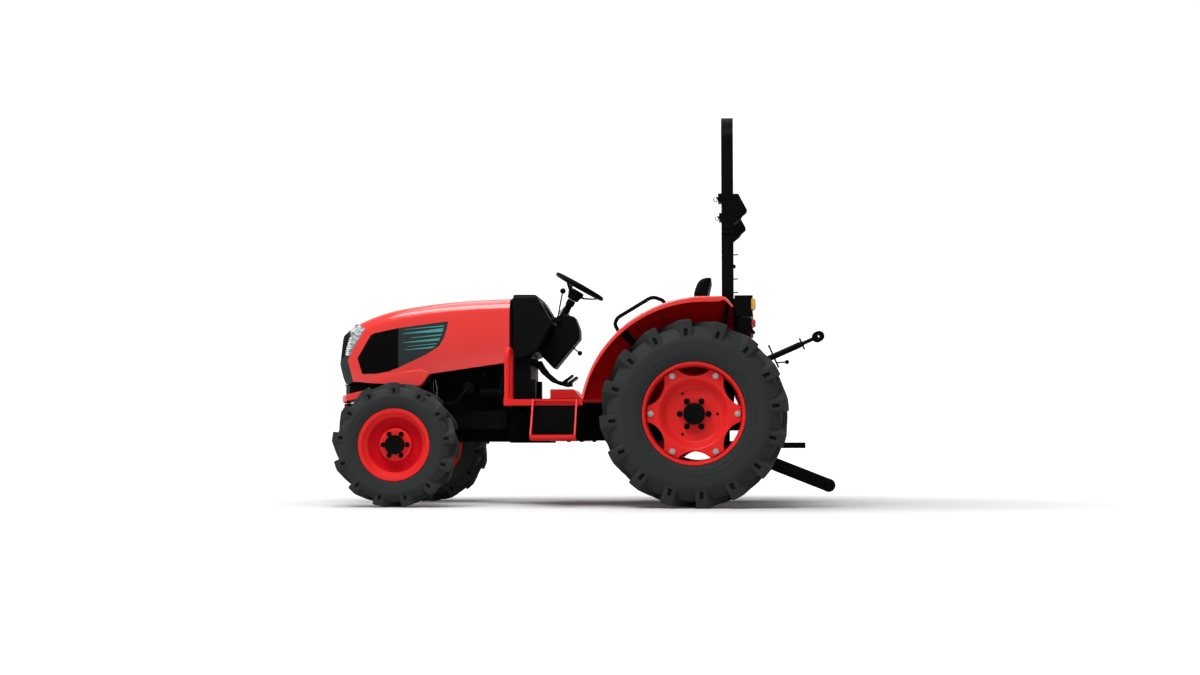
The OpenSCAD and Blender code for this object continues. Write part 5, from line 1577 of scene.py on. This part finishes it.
def make_power_shaft():
    shaft = Shape()
    for c, s in around(6):
        y, z = 15.5 * c, PTO_H + 15.5 * s
        shaft.rod((-250, y, z), (-326, y, z), 2.6, sides=8)
    shaft.turned((-327, 0, PTO_H), (-1, 0, 0), [(-85, 17.4), (-6, 17.4), (0, 13), (0.1, 0.1)], 40)
    shaft.make("pto_splines", STEEL, "bright_steel", smooth=40)


make_top_link()
for name, sign in SIDES:
    make_lower_link(name, sign)
soften(3, 2, "lift_arms", "top_link", "drawbar", "pto_guard")
make_power_shaft()


# Engine, axles and frame

ENGINE_HALF = 160
SUMP_HALF = 140
CLUTCH_HALF = 185
GEARBOX_HALF = 150
CRANK_H = 700
FAN_H = 930
PULLEY = [(0, 78), (4, 84), (10, 76), (16, 84), (20, 78)]
ALTERNATOR = [(0, 40), (2, 52), (9, 54), (12, 46), (16, 46), (19, 54), (26, 52), (28, 20), (34, 16),
              (34, 0.1)]
AIR_FILTER = [(-80, 45), (-4, 45), (0, 38), (2, 20), (2.1, 0.1)]
BELT_X = 1842
BELT = ((214, 1056), (0, 1014), (-84, FAN_H), (-84, CRANK_H), (0, 616), (84, CRANK_H), (268, 985),
        (240, 1050))
OIL_PIPE = ((1300, 170, 700), (1220, 225, 650), (1120, 215, 560), (1010, 190, 500))
ENGINE_PIPES = (
    (27, ((1760, 60, 1062), (1840, 70, 1110), (1902, 92, 1112))),
    (25, ((1790, 190, 760), (1850, 200, 740), (1905, 180, 720))),
    (10, ((1560, 250, 800), (1590, 268, 760), (1650, 230, 700), (1720, 190, 690))),
    (9, ((1340, 190, 900), (1330, 245, 860), (1330, 240, 760), (1370, 200, 690))),
    (8, ((1500, 190, 990), (1500, 240, 950), (1440, 250, 880), (1400, 170, 850))),
    (9, OIL_PIPE),
    (9, ((1300, 150, 660), (1200, 205, 600), (1090, 200, 520), (900, 165, 470))),
    (9, tuple((x, -y, z) for x, y, z in OIL_PIPE)),
)


def pipe(shape, points, r):
    """A fixed pipe with a union at each end."""
    shape.tube(points, r, 40, 16)
    for a, b in ((points[0], points[1]), (points[-1], points[-2])):
        along = (Vector(b) - Vector(a)).normalized()
        shape.rod(Vector(a) + along * 10, Vector(a) + along * 22, r + 2, sides=20)


def make_castings():
    """Core plugs, bolts, ribs and covers of the engine, gearbox and rear axle."""
    cast = Shape()
    for side in (-1, 1):
        axis = (0, side, 0)
        y = side * ENGINE_HALF
        for i in range(5):
            x = 1345 + 100 * i
            cast.rod((x, y - side * 2, 870), (x, y + side * 5, 870), 24, sides=28)
            for z in (925, 690):
                cast.bolt((x + 50, y, z), axis, 9, 9)
        cast.box((1340, y - 4, 940), (1780, y + 4, 958))
        for i in range(12):
            cast.bolt((1300 + 45 * i, side * SUMP_HALF, 636), axis, 7, 8)
        for i in range(7):
            cast.bolt((1282, side * (60 + 18 * i), 700 + 26 * i), (-1, 0, 0), 9, 9)
        for i in range(6):
            x = 1030 + 40 * i
            cast.bolt((1010, side * 168, 455 + 42 * i), (-1, 0, 0), 9, 9)
            cast.box((x, side * CLUTCH_HALF - 5, 440), (x + 8, side * CLUTCH_HALF + 5, 680))
        for i in range(5):
            x = 300 + 130 * i
            cast.box((x, side * GEARBOX_HALF - 6, 470), (x + 12, side * GEARBOX_HALF + 6, 690))
        cast.rod((650, side * 146, 560), (650, side * 160, 560), 58, 54, sides=40)
        for c, s in around(6):
            cast.bolt((650 + 44 * c, side * 159, 560 + 44 * s), axis, 6, 7)
        cast.rod((120, side * 176, 610), (120, side * 190, 610), 96, 90, sides=48)
    for i in range(7):
        x = 350 + 90 * i
        cast.rod((x, 0, 442), (x, 0, 430), 16, 13, sides=6)
    cast.make("engine_castings", CAST, "dark_casting", bevel=1.2)


def make_engine():
    soften(4, 2, *CASTINGS, "front_frame", "chin", "seat_deck", "step_panels", "platform", "steps")
    make_castings()
    pipes = Shape()
    for r, points in ENGINE_PIPES:
        pipe(pipes, points, r)
    pipes.make("engine_pipes", PLASTIC, "black_plastic", smooth=45)
    turning = Shape()
    turning.turned((1830, 214, 1000), (1, 0, 0), ALTERNATOR, 40)
    for x, z in ((1786, FAN_H), (1826, CRANK_H)):
        turning.turned((x, 0, z), (1, 0, 0), PULLEY, 48)
    for c, s in around(6):
        turning.rod((1852, 50 * c, FAN_H + 50 * s), (1852, 190 * c, FAN_H + 190 * s), 16, 30, sides=4)
    turning.turned((1560, 252, 800), (0, 1, 0), AIR_FILTER, 36)
    turning.make("engine_pulleys", BLACK, "dark_casting")
    belt = Shape()
    belt.tube([(BELT_X, y, z) for y, z in BELT], 6, 40, 8)
    belt.make("engine_belt", TYRE, "tyre_rubber", smooth=45)
    core = Shape()
    for i in range(24):
        z = 690 + 19 * i
        core.box((1899, -222, z), (1962, 222, z + 4))
    core.make("radiator_core", ZINC, "bright_steel")


BUMPER_PLAN = ((2275, 235), (2412, 235), (2446, 195), (2460, 150))
BUMPER_FRONT = 2460
BUMPER_TILT = 0.23
BUMPER_LOW = 700
BUMPER_T = 48
FRAME_HALF = 185
KNUCKLE_Y = 520
HOUSING_H = 372
AXLE_TUBE = [(-250, 50.5), (-235, 56), (-150, 62), (-96, 82), (96, 82), (150, 62), (235, 56), (250, 50.5)]
KNUCKLE = [(-75, 56), (-60, 60), (-20, 63), (20, 63), (60, 60), (75, 56)]


def make_bumper():
    """Front blade that rises towards its rear."""
    blade = Shape()
    plan = [(x, -y) for x, y in BUMPER_PLAN] + list(reversed(BUMPER_PLAN))
    blade.loft([[(x, y, low + BUMPER_TILT * (BUMPER_FRONT - x)) for x, y in plan]
                for low in (BUMPER_LOW, BUMPER_LOW + BUMPER_T)])
    blade.make("front_bumper_blade", RED, "red_paint", "front_bumper", bevel=6, smooth=30)


def make_front_frame():
    """Bolts and plates of the front frame, the tow pin and the dark fillings behind the chin."""
    bolts = Shape()
    for side in (-1, 1):
        y = side * FRAME_HALF
        for i in range(9):
            x = 1330 + 118 * i
            if 1860 < x < 2080:
                continue
            for z in (548, 616):
                bolts.bolt((x, y, z), (0, side, 0), 11, 10)
        bolts.box((2110, y - 8, 560), (2380, y + 8, 600))
    bolts.rod((2410, 0, 580), (2466, 0, 580), 20, sides=24)
    bolts.box((2390, -70, 596), (2464, 70, 699))
    bolts.box((2060, -180, 690), (2284, 180, 842))
    bolts.box((2290, -190, 822), (2436, 190, 828.5))
    bolts.bolt((2439, 40, 640), (1, 0, 0), 10, 9)
    bolts.make("front_frame_bolts", BLACK, "black_paint", bevel=1)


def make_front_axle():
    """Castings of the axle and knuckles, with the ends and pipes of the steering cylinder."""
    x = WHEELBASE
    h = FRONT.r
    axle = Shape()
    axle.turned((x, 0, h), (0, 1, 0), AXLE_TUBE, 48)
    axle.turned((x, 0, HOUSING_H), (-1, 0, 0), [(60, 78), (84, 78), (88, 74), (92, 50), (94, 0.1)], 40)
    for c, s in around(10):
        axle.bolt((x - 88, 66 * c, HOUSING_H + 66 * s), (-1, 0, 0), 6, 7)
    axle.make("front_axle_castings", CAST, "dark_casting", bevel=1)
    for side_name, side in SIDES:
        knuckle = Shape()
        knuckle.turned((x, side * KNUCKLE_Y, h), (0, 0, 1), KNUCKLE, 40)
        knuckle.turned((x, side * 600, h), (0, side, 0), [(-30, 58), (-4, 66), (10, 66), (12, 60)], 40)
        for c, s in around(8):
            knuckle.bolt((x + 61 * c, side * 602, h + 61 * s), (0, -side, 0), 6, 9)
        body = f"knuckle_{side_name}"
        knuckle.make(f"{body}_casting", CAST, "dark_casting", None, body, bevel=1)
    ram = Shape()
    for side in (-1, 1):
        ram.rod((x - 120, side * 150, 390), (x - 120, side * 172, 390), 36, sides=32)
        line = ((120, 140, 424), (130, 120, 470), (180, 110, 520), (220, 100, 560))
        pipe(ram, [(x - back, side * y, z) for back, y, z in line], 8)
    ram.make("steering_ram_fittings", BLACK, "black_paint", smooth=40)


make_engine()
make_bumper()
make_front_frame()
make_front_axle()


# Camera, light and stage

CAMERA_AT = P(-243, 11607, 387)
CAMERA_YAW = math.radians(4.507)
CAMERA_PITCH = math.radians(3.798)
FOCAL_PX = 1669
FRAME_W_PX = 1200
SENSOR_W = 36
CLIP_END = 200
WHITE = (1, 1, 1, 1)
FLOOR_COLOUR = (0.74, 0.74, 0.74, 1)
SKY_LIGHT = 0.19
NEAR_GLOW = 0.02
FAR_GLOW = 0.82
GLOW_FROM = 1.5
GLOW_TO = 4.0
SWEEP_NEAR = 30.0
SWEEP_FAR = -7.0
SWEEP_R = 4.0
SWEEP_HALF = 30.0
SWEEP_TOP = 16.0
SWEEP_STEPS = 16


def place(name, data, at, look):
    """Links a camera or lamp that looks along a direction."""
    thing = bpy.data.objects.new(name, data)
    bpy.context.scene.collection.objects.link(thing)
    thing.location = at
    thing.rotation_mode = "QUATERNION"
    thing.rotation_quaternion = look.to_track_quat("-Z", "Y")
    return thing


def make_camera():
    data = bpy.data.cameras.new("camera")
    data.sensor_width = SENSOR_W
    data.lens = FOCAL_PX / FRAME_W_PX * SENSOR_W
    data.clip_end = CLIP_END
    flat = math.cos(CAMERA_PITCH)
    look = Vector((math.sin(CAMERA_YAW) * flat, -math.cos(CAMERA_YAW) * flat, math.sin(CAMERA_PITCH)))
    bpy.context.scene.camera = place("camera", data, CAMERA_AT, look)


def area_light(name, at, towards, size, watts):
    data = bpy.data.lights.new(name, "AREA")
    data.shape = "RECTANGLE"
    data.size, data.size_y = size
    data.energy = watts
    place(name, data, at, Vector(towards) - Vector(at))


def maths(nodes, operation, first, second, clamp=False):
    """The sum or product of two sockets."""
    node = nodes.new("ShaderNodeMath")
    node.operation = operation
    node.use_clamp = clamp
    for socket, value in zip(node.inputs, (first, second)):
        node.id_data.links.new(value, socket)
    return node.outputs[0]


def seen_directly(nodes):
    """1 for rays from the camera, mirrors and glass, 0 for the rays that carry light."""
    rays = nodes.new("ShaderNodeLightPath").outputs
    shown = maths(nodes, "ADD", rays["Is Camera Ray"], rays["Is Glossy Ray"], True)
    return maths(nodes, "ADD", shown, rays["Is Transmission Ray"], True)


def make_world():
    world = bpy.data.worlds.new("studio")
    bpy.context.scene.world = world
    world.use_nodes = True
    nodes = world.node_tree.nodes
    links = world.node_tree.links
    back = nodes["Background"]
    back.inputs["Color"].default_value = WHITE
    links.new(ramp_between(nodes, links, seen_directly(nodes), SKY_LIGHT, 1.0), back.inputs["Strength"])


def stage_material():
    """White that is lit as it is near the tractor, and glows by itself farther away."""
    mat = bpy.data.materials.new("studio_white")
    mat.use_nodes = True
    nodes = mat.node_tree.nodes
    links = mat.node_tree.links
    shader = nodes["Principled BSDF"]
    shader.inputs["Base Color"].default_value = FLOOR_COLOUR
    shader.inputs["Roughness"].default_value = 0.9
    shader.inputs["Specular IOR Level"].default_value = 0.0
    shader.inputs["Emission Color"].default_value = WHITE
    away = nodes.new("ShaderNodeVectorMath")
    away.operation = "MULTIPLY"
    away.inputs[1].default_value = (0.75, 1, 1)
    links.new(nodes.new("ShaderNodeTexCoord").outputs["Object"], away.inputs[0])
    distance = nodes.new("ShaderNodeVectorMath")
    distance.operation = "LENGTH"
    links.new(away.outputs["Vector"], distance.inputs[0])
    rise = ramp_between(nodes, links, distance.outputs["Value"], NEAR_GLOW, FAR_GLOW, GLOW_TO)
    rise.node.inputs["From Min"].default_value = GLOW_FROM
    glow = maths(nodes, "MULTIPLY", rise, seen_directly(nodes))
    links.new(glow, shader.inputs["Emission Strength"])
    return mat


def make_stage():
    """A white sweep: a floor that curves up into a backdrop behind the tractor."""
    line = [(SWEEP_NEAR, 0.0), (SWEEP_FAR, 0.0)]
    for c, s in around(SWEEP_STEPS, 90 / SWEEP_STEPS, 90 / SWEEP_STEPS):
        line.append((SWEEP_FAR - SWEEP_R * s, SWEEP_R * (1 - c)))
    line.append((SWEEP_FAR - SWEEP_R, SWEEP_TOP))
    mesh = bpy.data.meshes.new("studio_sweep")
    verts = [(s * SWEEP_HALF, y, z) for y, z in line for s in (-1, 1)]
    faces = [(2 * i, 2 * i + 1, 2 * i + 3, 2 * i + 2) for i in range(len(line) - 1)]
    mesh.from_pydata(verts, [], faces)
    mesh.materials.append(stage_material())
    for face in mesh.polygons:
        face.use_smooth = True
    sweep = bpy.data.objects.new("studio_sweep", mesh)
    bpy.context.scene.collection.objects.link(sweep)


make_camera()
make_world()
make_stage()
area_light("key", (1.3, -0.5, 6.5), (0, 0, 0.6), (4.5, 3), 190)
area_light("front_fill", (1.5, 4.6, 7.4), (0, 0, 1.0), (6, 2.4), 590)
area_light("nose_fill", (7.5, 1.5, 2.5), (0.8, 0, 0.9), (3, 3), 90)
bpy.context.scene.view_settings.view_transform = "Standard"
